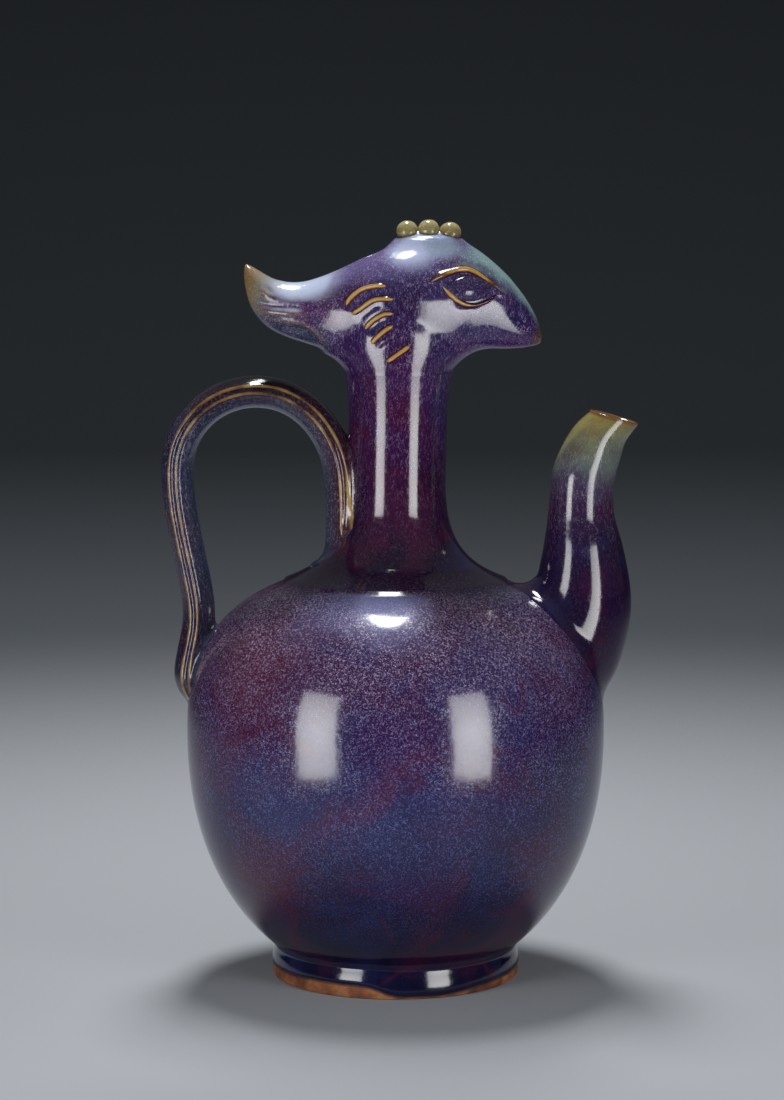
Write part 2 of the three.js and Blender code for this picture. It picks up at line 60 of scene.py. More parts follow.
def linear(hex_code):
    """An sRGB colour such as "8a4a26" as a linear colour"""
    parts = [int(hex_code[i:i + 2], 16) / 255 for i in (0, 2, 4)]
    return [p / 12.92 if p <= 0.04045 else ((p + 0.055) / 1.055) ** 2.4 for p in parts] + [1]


def add(tree, kind, links=None, stops=(), **settings):
    """A new shader node with its settings, ramp stops, and links or values on its inputs.
    A node that is linked gives its first output in use."""
    node = tree.nodes.new("ShaderNode" + kind)
    for key, value in settings.items():
        setattr(node, key, value)
    if stops:
        ramp = node.color_ramp.elements
        ramp.remove(ramp[1])
        for number, (place, colour) in enumerate(stops):
            stop = ramp.new(place) if number else ramp[0]
            stop.position = place
            stop.color = linear(colour) if isinstance(colour, str) else (colour, colour, colour, 1)
    for key, value in (links or {}).items():
        if isinstance(value, bpy.types.Node):
            value = next(socket for socket in value.outputs if socket.enabled)
        if isinstance(value, bpy.types.NodeSocket):
            tree.links.new(value, node.inputs[key])
        else:
            node.inputs[key].default_value = value
    return node


def tinted(tree, colour, tint, share, start=None, end=None, strength=1):
    """The colour turned towards a tint by a share, or smoothly as a value runs from start to end"""
    if end is not None:
        share = add(tree, "MapRange", {"Value": share, "From Min": start, "From Max": end,
                                       "To Max": strength}, interpolation_type="SMOOTHSTEP")
    tint = linear(tint) if isinstance(tint, str) else tint
    return add(tree, "Mix", {0: share, 6: colour, 7: tint}, data_type="RGBA")


def fresh_material(name):
    """A new material, its emptied nodes, and the place on the ewer in mm"""
    material = bpy.data.materials.new(name)
    material.use_nodes = True
    tree = material.node_tree
    tree.nodes.clear()
    place = add(tree, "TexCoord").outputs["Object"]
    return material, tree, add(tree, "VectorMath", {0: place, "Scale": 1 / MM}, operation="SCALE")


def fresh_mesh(name, primitive, **size):
    """A new primitive under its own name, with nothing else selected"""
    bpy.ops.object.select_all(action="DESELECT")
    primitive(**size)
    bpy.context.object.name = name
    return bpy.context.object


def spun(name, profile):
    """A piece thrown on the wheel: (radius, height) points in mm, spun about the ewer's axis"""
    piece = fresh_mesh(name, bpy.ops.mesh.primitive_plane_add, size=MM)
    bpy.ops.object.mode_set(mode="EDIT")
    bpy.ops.mesh.merge(type="CENTER")
    bpy.ops.transform.translate(value=(profile[0][0] * MM, 0, profile[0][1] * MM))
    for (radius, height), (next_radius, next_height) in zip(profile, profile[1:]):
        step = ((next_radius - radius) * MM, 0, (next_height - height) * MM)
        bpy.ops.mesh.extrude_vertices_move(TRANSFORM_OT_translate={"value": step})
    bpy.ops.mesh.select_all(action="SELECT")
    bpy.ops.mesh.remove_doubles(threshold=WELD)
    bpy.ops.mesh.select_all(action="SELECT")
    bpy.ops.mesh.spin(steps=ROUND_STEPS, angle=2 * math.pi, center=(0, 0, 0), axis=(0, 0, 1))
    bpy.ops.mesh.select_all(action="SELECT")
    bpy.ops.mesh.remove_doubles(threshold=WELD)
    bpy.ops.mesh.normals_make_consistent(inside=False)
    bpy.ops.object.mode_set(mode="OBJECT")
    bpy.ops.object.shade_smooth_by_angle(angle=math.radians(40))
    return piece


foot = spun("foot_ring_clay", [
    (FOOT_INNER, FOOT_CHAMFER), (FOOT_INNER + FOOT_EASE, FOOT_EASE), (FOOT_INNER + FOOT_CHAMFER, 0),
    (FOOT_RADIUS - FOOT_CHAMFER, 0), (FOOT_RADIUS - FOOT_EASE, FOOT_EASE), (FOOT_RADIUS, FOOT_CHAMFER),
    (FOOT_RADIUS, 2.6), (FOOT_RADIUS - 0.5, 7), (FOOT_WAIST, FOOT_HEIGHT),
    (FOOT_INNER, FOOT_HEIGHT), (FOOT_INNER, FOOT_CHAMFER)])

# How high the glaze's edge hangs round the foot: degrees from the front towards the spout, height in mm
GLAZE_HANG = [
    (-180, 5.6), (-150, 5.3), (-120, 5.8), (-90, 5.2), (-60, 5.3), (-30, 5.6), (-19, 5.5), (-12, 4.9),
    (-8, 3.8), (-4, 2.5), (1, 1.8), (9, 1.6), (17, 1.4), (23, 1.6), (29, 2.1), (35, 2.7), (45, 3.4),
    (56, 4), (75, 4.7), (95, 5.2), (125, 5.7), (155, 5.2), (180, 5.6)]


def glaze_edge(x, y):
    """Height at which the glaze ends below the point x, y, in mm"""
    # Long and short waves: rise and length in mm, and the level at which the noise is cut
    wave = sum(rise * noise.noise(Vector((x / length, y / length, level)))
               for rise, length, level in ((0.3, 11, 3), (0.18, 4, 8)))
    return float(numpy.interp(math.degrees(math.atan2(x, -y)), *zip(*GLAZE_HANG))) + wave


under_edge = foot.data.attributes.new("under_edge", "FLOAT", "POINT")
for vertex, value in zip(foot.data.vertices, under_edge.data):
    value.value = glaze_edge(vertex.co.x / MM, vertex.co.y / MM) - vertex.co.z / MM

# Bare stoneware: fired clay, dry and slightly gritty, with fine turning lines that run round it
clay, tree, mm = fresh_material("bare_stoneware")
blotch = add(tree, "TexNoise", {"Vector": mm, "Scale": 0.12, "Detail": 4})
tone = add(tree, "ValToRGB", {"Fac": blotch}, stops=[(0.32, "4a2614"), (0.48, "7c4625"), (0.66, "a06a40")])
# Dark iron specks under 0.5 mm across
grit = add(tree, "TexVoronoi", {"Vector": mm, "Scale": 0.9})
tone = tinted(tree, tone, "3a1c10", grit, 0.22, 0.1, 0.7)
# The clay is toasted dark in a thin band right under the glaze
under = add(tree, "Attribute", attribute_name="under_edge").outputs["Fac"]
tone = tinted(tree, tone, "2a120a", under, 1.5, 0.3, 0.9)
turning = add(tree, "TexWave", {"Vector": mm, "Scale": 0.35, "Distortion": 1.5, "Detail": 2},
              bands_direction="Z").outputs["Fac"]
relief = add(tree, "Bump", {"Strength": 0.35, "Distance": 0.0002, "Height": turning})
relief = add(tree, "Bump", {"Strength": 0.5, "Distance": 0.0001, "Height": grit, "Normal": relief})
surface = add(tree, "BsdfPrincipled", {"Base Color": tone, "Roughness": 0.78, "Normal": relief})
add(tree, "OutputMaterial", {"Surface": surface})

foot.data.materials.append(clay)
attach(foot, "root")
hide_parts("foot_ring")

# Belly
# Two thrown stoneware bowls joined at the seam and glazed as one, with a shoulder that sweeps to the neck.
# The glaze ran down over the foot and stopped in a thick rolled edge, with one heavy drip at the front.

BELLY_RADIUS = 82.8
BELLY_DROP = 101.5
SHOULDER_RISE = 64.5
SEAM_HEIGHT = 99
BELLY_POWER = 2.2
SHOULDER_POWER = 2.45
NECK_RADIUS = 19.4
FLARE_RADIUS = 45
FLARE_FOOT = 158.1
FLARE_RISE = 38
JOINT_SHARE = 0.3
GLAZE_EDGE = 5.4
HANG_TOP = 12
DRIP_SWELL = 0.12
WOBBLE = 0.0018
WOBBLE_LENGTH = 60
TRUE_RADIUS = 30
RECESS_HEIGHT = 13


def flare_point(share):
    """The concave sweep from the shoulder to the neck, a cubic curve through four guide points"""
    guides = [(1, 0), (0.4, 0.15), (0, 0.365), (0, 1)]
    weights = [(1 - share) ** 3, 3 * share * (1 - share) ** 2, 3 * share ** 2 * (1 - share), share ** 3]
    out = sum(weight * guide[0] for weight, guide in zip(weights, guides))
    up = sum(weight * guide[1] for weight, guide in zip(weights, guides))
    return NECK_RADIUS + (FLARE_RADIUS - NECK_RADIUS) * out, FLARE_FOOT + FLARE_RISE * up


def bowl(above, start, end, steps):
    """Points of a bowl's curve between two angles from the seam, in degrees"""
    points = []
    for step in range(steps + 1):
        angle = math.radians(start + (end - start) * step / steps)
        power = SHOULDER_POWER if above else BELLY_POWER
        radius = BELLY_RADIUS * math.cos(angle) ** (2 / power)
        rise = (SHOULDER_RISE if above else -BELLY_DROP) * math.sin(angle) ** (2 / power)
        points.append((radius, SEAM_HEIGHT + rise))
    return points


low_angle = math.degrees(math.asin(((SEAM_HEIGHT - FOOT_HEIGHT - 1.5) / BELLY_DROP) ** (BELLY_POWER / 2)))
high_angle = math.degrees(math.acos((FLARE_RADIUS / BELLY_RADIUS) ** (SHOULDER_POWER / 2)))
# The floor and the foot with the glaze's rolled edge, then the two bowls and the foot of the neck
belly_profile = [
    (0, FOOT_HEIGHT), (FOOT_INNER + 0.3, FOOT_HEIGHT), (FOOT_WAIST - 0.6, FOOT_HEIGHT),
    (FOOT_RADIUS - 0.7, 8), (FOOT_RADIUS - 0.4, GLAZE_EDGE + 0.4), (FOOT_RADIUS, GLAZE_EDGE),
    (FOOT_RADIUS + 0.3, GLAZE_EDGE + 0.1), (FOOT_RADIUS + 0.5, GLAZE_EDGE + 0.45),
    (FOOT_RADIUS + 0.5, GLAZE_EDGE + 1), (FOOT_RADIUS + 0.35, GLAZE_EDGE + 1.9), (FOOT_RADIUS + 0.1, 8.8),
    (FOOT_RADIUS - 0.25, 10), (FOOT_WAIST + 0.5, 11.2), (FOOT_WAIST + 0.4, HANG_TOP),
    (FOOT_WAIST + 0.65, 12.8)]
belly_profile += bowl(False, low_angle, 0, 52)[1:]
belly_profile += bowl(True, 0, high_angle, 40)[1:]
belly_profile += [flare_point(JOINT_SHARE * percent / 100)
                  for percent in (8, 18, 30, 45, 60, 75, 88, 95, 98, 99.3, 100)]
belly_profile += [(0, flare_point(JOINT_SHARE)[1])]
belly = spun("belly_glazed", belly_profile)

# The glaze's edge waves a little and hangs down in a drip. Only near its joints is the wall quite true.
for vertex in belly.data.vertices:
    x, y, z = [value / MM for value in vertex.co]
    radius = math.hypot(x, y)
    swell = 1
    if z < HANG_TOP and radius > FOOT_WAIST - 1.5:
        drop = GLAZE_EDGE - glaze_edge(x, y)
        hang = min((HANG_TOP - z) / (HANG_TOP - GLAZE_EDGE), 1)
        vertex.co.z -= drop * hang * MM
        if radius > FOOT_RADIUS - 0.1:
            swell += DRIP_SWELL * max(drop, 0) * hang / radius
    elif z > FOOT_HEIGHT + 0.1 and radius > TRUE_RADIUS:
        swell += WOBBLE * noise.noise(Vector([value / WOBBLE_LENGTH for value in (x, y, z)]))
    vertex.co.x *= swell
    vertex.co.y *= swell

RAMP_HEIGHT = 310
MELT_SHIFT = 17


def by_height(tree, place, stops):
    """Colours or shares at heights in mm up the ewer"""
    height = add(tree, "SeparateXYZ", {0: place}).outputs["Z"]
    share = add(tree, "Math", {0: height, 1: RAMP_HEIGHT}, operation="DIVIDE")
    return add(tree, "ValToRGB", {"Fac": share}, stops=[(up / RAMP_HEIGHT, value) for up, value in stops])


def cloudy(tree, place, scale, detail, low, high, least, most):
    """A share from least to most in soft clouds, made of the noise between low and high"""
    cloud = add(tree, "TexNoise", {"Vector": place, "Scale": scale, "Detail": detail})
    return add(tree, "MapRange", {"Value": cloud, "From Min": low, "From Max": high, "To Min": least,
                                  "To Max": most}, interpolation_type="SMOOTHSTEP")


def winding(tree, cloud, middle, core, edge, strength):
    """Winding lines where a noise crosses its middle, with a full core and a soft edge"""
    off = add(tree, "Math", {0: cloud, 1: middle}, operation="SUBTRACT")
    off = add(tree, "Math", {0: off}, operation="ABSOLUTE")
    return add(tree, "MapRange", {"Value": off, "From Min": core, "From Max": edge, "To Min": strength,
                                  "To Max": 0}, interpolation_type="SMOOTHSTEP")


def fired(material, colour, roughness, relief):
    """The material with a surface of fired glass over its colour"""
    tree = material.node_tree
    surface = add(tree, "BsdfPrincipled", {
        "Base Color": colour, "Roughness": roughness, "IOR": 1.5, "Normal": relief})
    add(tree, "OutputMaterial", {"Surface": surface})
    return material


def glaze(name, heights, speckle, density, stretch=1, patches=(), tints=None):
    """Jun-type glaze, fired glossy: violet and plum melt with milky worm-like specks of about 1 mm.
    heights, speckle and density are (mm, colour or share) stops up the ewer,
    patches (x, y, z, radius, colour, strength) in mm."""
    material, tree, mm = fresh_material(name)
    # The melt wandered by a few millimetres while it ran
    wander = add(tree, "TexNoise", {"Vector": mm, "Scale": 0.035, "Detail": 4, "Roughness": 0.6})
    shift = add(tree, "VectorMath", {
        0: wander.outputs["Color"], 1: [2 * MELT_SHIFT] * 3, 2: [-MELT_SHIFT] * 3}, operation="MULTIPLY_ADD")
    melt = add(tree, "VectorMath", {0: mm, 1: shift}, operation="ADD")
    colour = by_height(tree, melt, heights)
    # Plum and blue clouds some 30 mm across
    cloud = add(tree, "TexNoise", {"Vector": mm, "Scale": 0.028, "Detail": 3, "Distortion": 0.6})
    colour = tinted(tree, colour, "360c28", cloud, 0.5, 0.66, 0.5)
    colour = tinted(tree, colour, "161c44", cloud, 0.5, 0.34, 0.5)
    for x, y, z, radius, code, strength in patches:
        near = add(tree, "VectorMath", {0: melt, 1: (x, y, z)}, operation="DISTANCE")
        colour = tinted(tree, colour, code, near, radius, 0, strength)
    # Maroon trails 2 to 3 mm wide where the melt parted, almost bare of specks
    path = add(tree, "TexNoise", {"Vector": mm, "Scale": 0.014, "Detail": 2, "Distortion": 0.8})
    broken = add(tree, "MapRange", {"Value": wander, "From Min": 0.45, "From Max": 0.58},
                 interpolation_type="SMOOTHSTEP")
    trail = add(tree, "Math", {0: winding(tree, path, 0.48, 0, 0.03, 0.5), 1: broken}, operation="MULTIPLY")
    colour = tinted(tree, colour, "3c0c24", trail)
    if tints:
        colour = tints(tree, mm, melt, colour)
    # Milky specks: short winding threads, broken up, over a finer dust
    grain = add(tree, "Mapping", {"Vector": mm, "Scale": (1, 1, 1 / stretch)})
    worm = add(tree, "TexNoise", {
        "Vector": grain, "Scale": 1.45, "Detail": 2, "Roughness": 0.55, "Distortion": 0.4})
    threads = winding(tree, worm, 0.5, 0.01, 0.04, 1)
    gaps = cloudy(tree, grain, 1.1, 1, 0.44, 0.58, 0.08, 1)
    threads = add(tree, "Math", {0: threads, 1: gaps}, operation="MULTIPLY")
    dust = cloudy(tree, grain, 3, 1, 0.58, 0.7, 0, 0.4)
    specks = add(tree, "Math", {0: threads, 1: dust}, operation="MAXIMUM")
    thick = cloudy(tree, mm, 0.05, 3, 0.35, 0.65, 0.6, 1)
    bared = add(tree, "Math", {0: trail, 1: -0.8, 2: 1}, operation="MULTIPLY_ADD")
    for share in (by_height(tree, mm, density), thick, bared):
        specks = add(tree, "Math", {0: specks, 1: share}, operation="MULTIPLY")
    colour = tinted(tree, colour, by_height(tree, mm, speckle), specks)
    # A faint swell in the glass, and specks that stand a hair proud and a little less smooth
    swell = add(tree, "TexNoise", {"Vector": mm, "Scale": 0.12, "Detail": 2})
    relief = add(tree, "Bump", {"Strength": 0.2, "Distance": 0.0003, "Height": swell})
    relief = add(tree, "Bump", {"Strength": 0.2, "Distance": 0.00006, "Height": specks, "Normal": relief})
    gloss = add(tree, "MapRange", {"Value": specks, "To Min": 0.1, "To Max": 0.18})
    return fired(material, colour, gloss, relief)


# Colours and specks up the whole ewer, so that the glaze runs on from piece to piece
# The dark dip at 158.5 mm, on the flare above the shoulder, is partly thin glaze and partly painted shade
RUN = [
    (0, "06041f"), (22, "0a0626"), (40, "120628"), (80, "1b0a36"), (110, "220a36"), (140, "280a30"),
    (155, "200828"), (158.5, "10041a"), (180, "1c0822"), (215, "2a0c34"), (240, "2e103e"), (262, "2e164a"),
    (290, "483868")]
SPECKS = [
    (0, 0.06), (20, 0.22), (45, 0.5), (90, 0.65), (115, 0.72), (135, 0.85), (155, 0.95), (158.5, 0.35),
    (165, 0.15), (200, 0.3), (240, 0.42), (268, 0.58), (280, 0.7), (290, 0.8)]
MILK = [
    (0, "26316a"), (40, "525f98"), (75, "707ab0"), (105, "8e88b6"), (130, "ac9abe"), (154, "c2b2d2"),
    (159, "85708f"), (200, "8e749a"), (240, "9c82b2"), (262, "aa9cc8"), (290, "beb8dc")]


def flare_thin_glaze_and_shade(tree, mm, melt, colour):
    """Dark plum above the shoulder: partly where the melt drew off the foot of the neck, partly painted shade
    for the dark that the concave flare reflects
    """
    height = add(tree, "SeparateXYZ", {0: mm}).outputs["Z"]
    # Painted shade together with thin glaze: dark plum from the flare upwards
    return tinted(tree, colour, "16051c", height, 156.6, 158.2, 0.92)


belly_glaze = glaze("jun_glaze_belly", RUN, MILK, SPECKS, tints=flare_thin_glaze_and_shade, patches=[
    # Maroon on the left shoulder and low on the left
    (-58, -51, 132, 42, "3c0a20", 0.8), (-61, -55, 108, 32, "3a0c24", 0.6), (-49, -54, 47, 30, "3a0a20", 0.7),
    # Teal blue round the middle
    (-51, -65, 85, 26, "1a2850", 0.45), (-40, -70, 76, 22, "182a52", 0.35), (-3, -81, 77, 24, "15244c", 0.35),
    (20, -79, 78, 24, "15204c", 0.35), (-3, -76, 54, 18, "141a48", 0.35), (16, -76, 58, 18, "121844", 0.35),
    # Painted sheen of the overhead lamp, pale blue on the shoulder, and painted shade, dark low on the right
    (-5, -54, 153, 27, "8a94c6", 0.6), (-26, -48, 148, 26, "6c6896", 0.2), (67, -47, 87, 44, "0b0824", 0.7),
    # A long maroon trail that winds down to the left
    (17, -81, 104, 12, "3e0e2a", 0.35), (9, -82, 100, 12, "3e0e2a", 0.4), (0, -82, 96, 12, "400e2a", 0.45),
    (-7, -82, 89, 12, "420e2a", 0.5), (-14, -81, 82, 12, "420e2a", 0.5), (-23, -79, 76, 12, "420e2a", 0.5),
    (-32, -74, 69, 13, "420e2a", 0.45), (-41, -67, 62, 14, "3e0c26", 0.45),
])
belly.data.materials.append(belly_glaze)
belly.data.materials.append(clay)
# The floor seen inside the foot ring is bare clay
for face in belly.data.polygons:
    face.material_index = int(face.center.z < RECESS_HEIGHT * MM and face.normal.z < -0.9)
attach(belly, "root")
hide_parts("body_lower", "body_upper")

# Neck
# A thrown tube luted on the shoulder, a little wider where it meets the head and leaning a hair forward.
# Its glaze is a thin dark plum, drawn into fine vertical streaks as it ran.

NECK_TOP = 240
NECK_TOP_FLARE = 1.8
NECK_TOP_RISE = 20
NECK_LEAN = 1.2
TUBE_FOOT = 196
TUBE_STEPS = 24

joint_radius, joint_height = flare_point(JOINT_SHARE)
neck_profile = [(0, joint_height - 0.2), (joint_radius - 0.1, joint_height - 0.2)]
neck_profile += [flare_point(JOINT_SHARE + (1 - JOINT_SHARE) * percent / 100)
                 for percent in (0, 0.4, 1.2, 3, 6, 10, 15, 20, 26, 32, 39, 46, 54, 62, 71, 80, 90)]
for step in range(TUBE_STEPS + 1):
    height = TUBE_FOOT + (NECK_TOP - TUBE_FOOT) * step / TUBE_STEPS
    flare = max(0, (height - NECK_TOP + NECK_TOP_RISE) / NECK_TOP_RISE)
    neck_profile.append((NECK_RADIUS + NECK_TOP_FLARE * flare ** 2, height))
neck_profile.append((0, NECK_TOP))
neck = spun("neck_glazed", neck_profile)
for vertex in neck.data.vertices:
    share = (vertex.co.z / MM - joint_height) / (NECK_TOP - joint_height)
    vertex.co.x += NECK_LEAN * MM * min(max(share, 0), 1)

# Tones that run on over the joint of neck and head
TALL_PATCHES = [
    (-12, -16, 214, 16, "30103a", 0.5), (14, -14, 200, 14, "160514", 0.6), (2, -20, 228, 14, "380c26", 0.6),
    (2, -21, 250, 14, "300c2a", 0.6), (20, -18, 282, 12, "400c30", 0.7), (4, -20, 268, 14, "260c2a", 0.6)]
neck_glaze = glaze("jun_glaze_neck", RUN, MILK, SPECKS, stretch=3, patches=TALL_PATCHES)
neck.data.materials.append(neck_glaze)
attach(neck, "root")
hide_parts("neck")

# Head and crest
# The head is pressed in two moulds and luted shut, and the swept-back crest is modelled solid on behind it.
# Both are drawn out here as one form from beak to crest tip, so that the glaze runs over the join.

HEAD_BACK = -20
HEAD_POINTS = 64
HEAD_POWER = 2.2
WIDEST_SHARE = 0.54
THROAT_POINTS = 96
THROAT_SEAM = 250
THROAT_SPREAD = 12
THROAT_BACK = -24
THROAT_FRONT = 40
HOLE_X = -8
HOLE_HEIGHT = 284
HOLE_RADIUS = 4.5
HOLE_DEPTH = 34
SKIN_GRAIN = 0.62
# Sections along the head from the beak to the tip of the crest: x, top, bottom and half width
HEAD_SECTIONS = [
    (57.5, 255.6, 252.2, 1.1), (56.6, 258.6, 251.2, 2.4), (55.2, 262.2, 250.7, 3.8),
    (53.2, 265.9, 250.3, 5.2), (50.8, 269.8, 249.9, 6.5), (48, 273.5, 249.6, 7.8),
    (44.5, 277.7, 249.4, 9.3), (41, 281.1, 249.4, 10.7), (37.4, 284.2, 249.4, 12),
    (33.6, 286.9, 248.8, 13.3), (30, 288.5, 248, 14.5), (26, 289.1, 245.7, 15.8),
    (21.8, 289.5, 243.4, 17.1), (17, 290, 242, 18.6), (12, 290.2, 241.6, 20), (6, 289.9, 241.6, 21.3),
    (0, 289.2, 241.6, 21.5), (-5, 288.2, 241.6, 20.7), (-10, 286.5, 241.8, 19.3), (-15, 284, 242.2, 17),
    (-20, 281.6, 242.6, 14.8), (-24, 279.8, 246.2, 13.4), (-29.1, 277.8, 249.4, 12.4),
    (-35, 276, 251.5, 11.7), (-41, 275.5, 253.4, 10.9), (-46.9, 276.6, 255.9, 9.8),
    (-50.6, 278.4, 258.2, 8.8), (-53.6, 280.2, 261.1, 7.6), (-56, 281.6, 264.4, 5.9),
    (-57.8, 282.6, 268.4, 4.2), (-58.8, 282.9, 272.4, 2.8), (-59.5, 281.6, 276.4, 1.4)]
# Rings that carry the round neck up into the head: height, half length forward, half width, squareness
THROAT_RINGS = [(232, 21, 21, 2), (240, 21.2, 21.2, 2), (243.1, 23.1, 21.7, 1.9), (246.2, 26.5, 22, 1.75),
                (248.6, 30.1, 22.1, 1.65), (255.6, 27.6, 22.1, 1.8), (262, 22, 21.5, 2)]


def extruded(name, loops):
    """A disc extruded through loops of points in millimetres, closed at both ends"""
    piece = fresh_mesh(name, bpy.ops.mesh.primitive_circle_add, vertices=len(loops[0]), fill_type="NGON")
    bpy.ops.object.mode_set(mode="EDIT")
    for number, loop in enumerate(loops):
        if number:
            bpy.ops.mesh.extrude_region_move()
        drawn = [vertex for vertex in bmesh.from_edit_mesh(piece.data).verts if vertex.select]
        for vertex, point in zip(drawn, loop):
            vertex.co = Vector(point) * MM
    bpy.ops.mesh.select_all(action="SELECT")
    bpy.ops.mesh.normals_make_consistent(inside=False)
    bpy.ops.object.mode_set(mode="OBJECT")
    bpy.ops.object.shade_smooth()
    return piece


def smooth_rows(rows, steps):
    """More rows between those of a table, along a smooth curve through them"""
    result = []
    for gap in range(len(rows) - 1):
        four = [rows[min(max(gap + i, 0), len(rows) - 1)] for i in (-1, 0, 1, 2)]
        for step in range(steps):
            t = step / steps
            result.append([b + 0.5 * t * (c - a + t * (2 * a - 5 * b + 4 * c - d + t * (3 * (b - c) + d - a)))
                           for a, b, c, d in zip(*four)])
    return result + [list(rows[-1])]


def fuller(share, power):
    """A sine or cosine that draws an oval squarer than an ellipse as its power goes above 2"""
    return math.copysign(abs(share) ** (2 / power), share)


def oval(x, top, bottom, half):
    """An upright section of the head, fuller than an ellipse and widest a little above its middle"""
    middle = bottom + (top - bottom) * WIDEST_SHARE
    loop = []
    for i in range(HEAD_POINTS):
        angle = math.tau * i / HEAD_POINTS
        upward = fuller(math.sin(angle), HEAD_POWER)
        reach = top - middle if upward > 0 else middle - bottom
        loop.append((x, half * fuller(math.cos(angle), HEAD_POWER), middle + upward * reach))
    return loop


head = extruded("head_moulded", [oval(*row) for row in smooth_rows(HEAD_SECTIONS, 3)])
throat_rings = []
for height, forward, sideways, power in smooth_rows(THROAT_RINGS, 3):
    angles = [math.tau * i / THROAT_POINTS for i in range(THROAT_POINTS)]
    throat_rings.append([(NECK_LEAN + forward * fuller(math.cos(angle), power),
                          sideways * fuller(math.sin(angle), power), height) for angle in angles])
throat = extruded("throat", throat_rings)

# The filling hole behind the crown, cut with a tube
hole = fresh_mesh("filling_hole", bpy.ops.mesh.primitive_cylinder_add, vertices=48,
                  radius=HOLE_RADIUS * MM, depth=HOLE_DEPTH * MM, location=(HOLE_X * MM, 0, HOLE_HEIGHT * MM))
bpy.ops.object.select_all(action="DESELECT")
bpy.context.view_layer.objects.active = head
head.select_set(True)
for tool, operation in ((throat, "UNION"), (hole, "DIFFERENCE")):
    join = head.modifiers.new("join", "BOOLEAN")
    join.operation = operation
    join.object = tool
    bpy.ops.object.modifier_apply(modifier="join")
    bpy.data.objects.remove(tool)
clay_skin = head.modifiers.new("clay_skin", "REMESH")
clay_skin.mode = "VOXEL"
clay_skin.voxel_size = SKIN_GRAIN * MM
bpy.ops.object.modifier_apply(modifier="clay_skin")


def wiped(piece, rounds, where=""):
    """Wipes the soft clay smoother, all over or only in a vertex group"""
    wipe = piece.modifiers.new("wipe", "SMOOTH")
    wipe.iterations = rounds
    wipe.vertex_group = where
    bpy.ops.object.modifier_apply(modifier="wipe")


wiped(head, rounds=14)
# The luted seam of throat and cheeks is wiped smoother than the rest
seam = head.vertex_groups.new(name="throat_seam")
for vertex in head.data.vertices:
    weight = 1 - abs(vertex.co.z / MM - THROAT_SEAM) / THROAT_SPREAD
    if weight > 0 and THROAT_BACK < vertex.co.x / MM < THROAT_FRONT:
        seam.add([vertex.index], min(1, 2 * weight), "REPLACE")
wiped(head, rounds=110, where="throat_seam")

# The top of the head is drawn up all round to meet the pad of the crown
CROWN_X = 13
PAD_LENGTH = 26.6
PAD_WIDTH = 17
TOP_START = 280
TOP_RISE = 3.7
TOP_SPREAD = 0.25
for vertex in head.data.vertices:
    x, y, z = [value / MM for value in vertex.co]
    if z > TOP_START:
        away = math.hypot((x - CROWN_X) / (PAD_LENGTH / 2), y / (PAD_WIDTH / 2))
        vertex.co.z += TOP_RISE * math.exp(-max(0, away - 1) / TOP_SPREAD) * MM

FOLD_FADE = 0.35
THIN_WIDTH = 0.9
amber = head.data.attributes.new("amber", "FLOAT", "POINT")


def pressed(piece, line, depth, width, least_y, amber_share):
    """Presses a groove, or with a negative depth raises a fold, along side-view points on both sides,
    fading out at its ends. The glaze runs thin and amber on a fold by the share given."""
    places = numpy.empty(len(piece.data.vertices) * 3)
    normals = places.copy()
    piece.data.vertices.foreach_get("co", places)
    piece.data.vertices.foreach_get("normal", normals)
    places = places.reshape(-1, 3) / MM
    side_view = places[:, [0, 2]]
    nearest = numpy.full(len(places), numpy.inf)
    fade = numpy.zeros(len(places))
    total = sum(math.dist(start, end) for start, end in zip(line, line[1:]))
    walked = 0
    for start, end in zip(numpy.array(line), numpy.array(line)[1:]):
        along = end - start
        share = numpy.clip((side_view - start) @ along / (along @ along), 0, 1)
        distance = numpy.linalg.norm(side_view - start - share[:, None] * along, axis=1)
        walk = (walked + share * numpy.linalg.norm(along)) / total
        fading = numpy.clip(numpy.minimum(walk, 1 - walk) / FOLD_FADE, 0, 1)
        fade = numpy.where(distance < nearest, fading, fade)
        nearest = numpy.minimum(nearest, distance)
        walked += numpy.linalg.norm(along)
    fade *= fade * (3 - 2 * fade)
    push = depth * fade * numpy.exp(-(nearest / width) ** 2) * (numpy.abs(places[:, 1]) >= least_y)
    places -= normals.reshape(-1, 3) * push[:, None]
    piece.data.vertices.foreach_set("co", (places * MM).ravel())
    thin = numpy.empty(len(places))
    amber_values = piece.data.attributes["amber"].data
    amber_values.foreach_get("value", thin)
    thin = numpy.maximum(thin, amber_share * fade * numpy.exp(-(nearest / THIN_WIDTH) ** 2))
    amber_values.foreach_set("value", thin)
    piece.data.update()


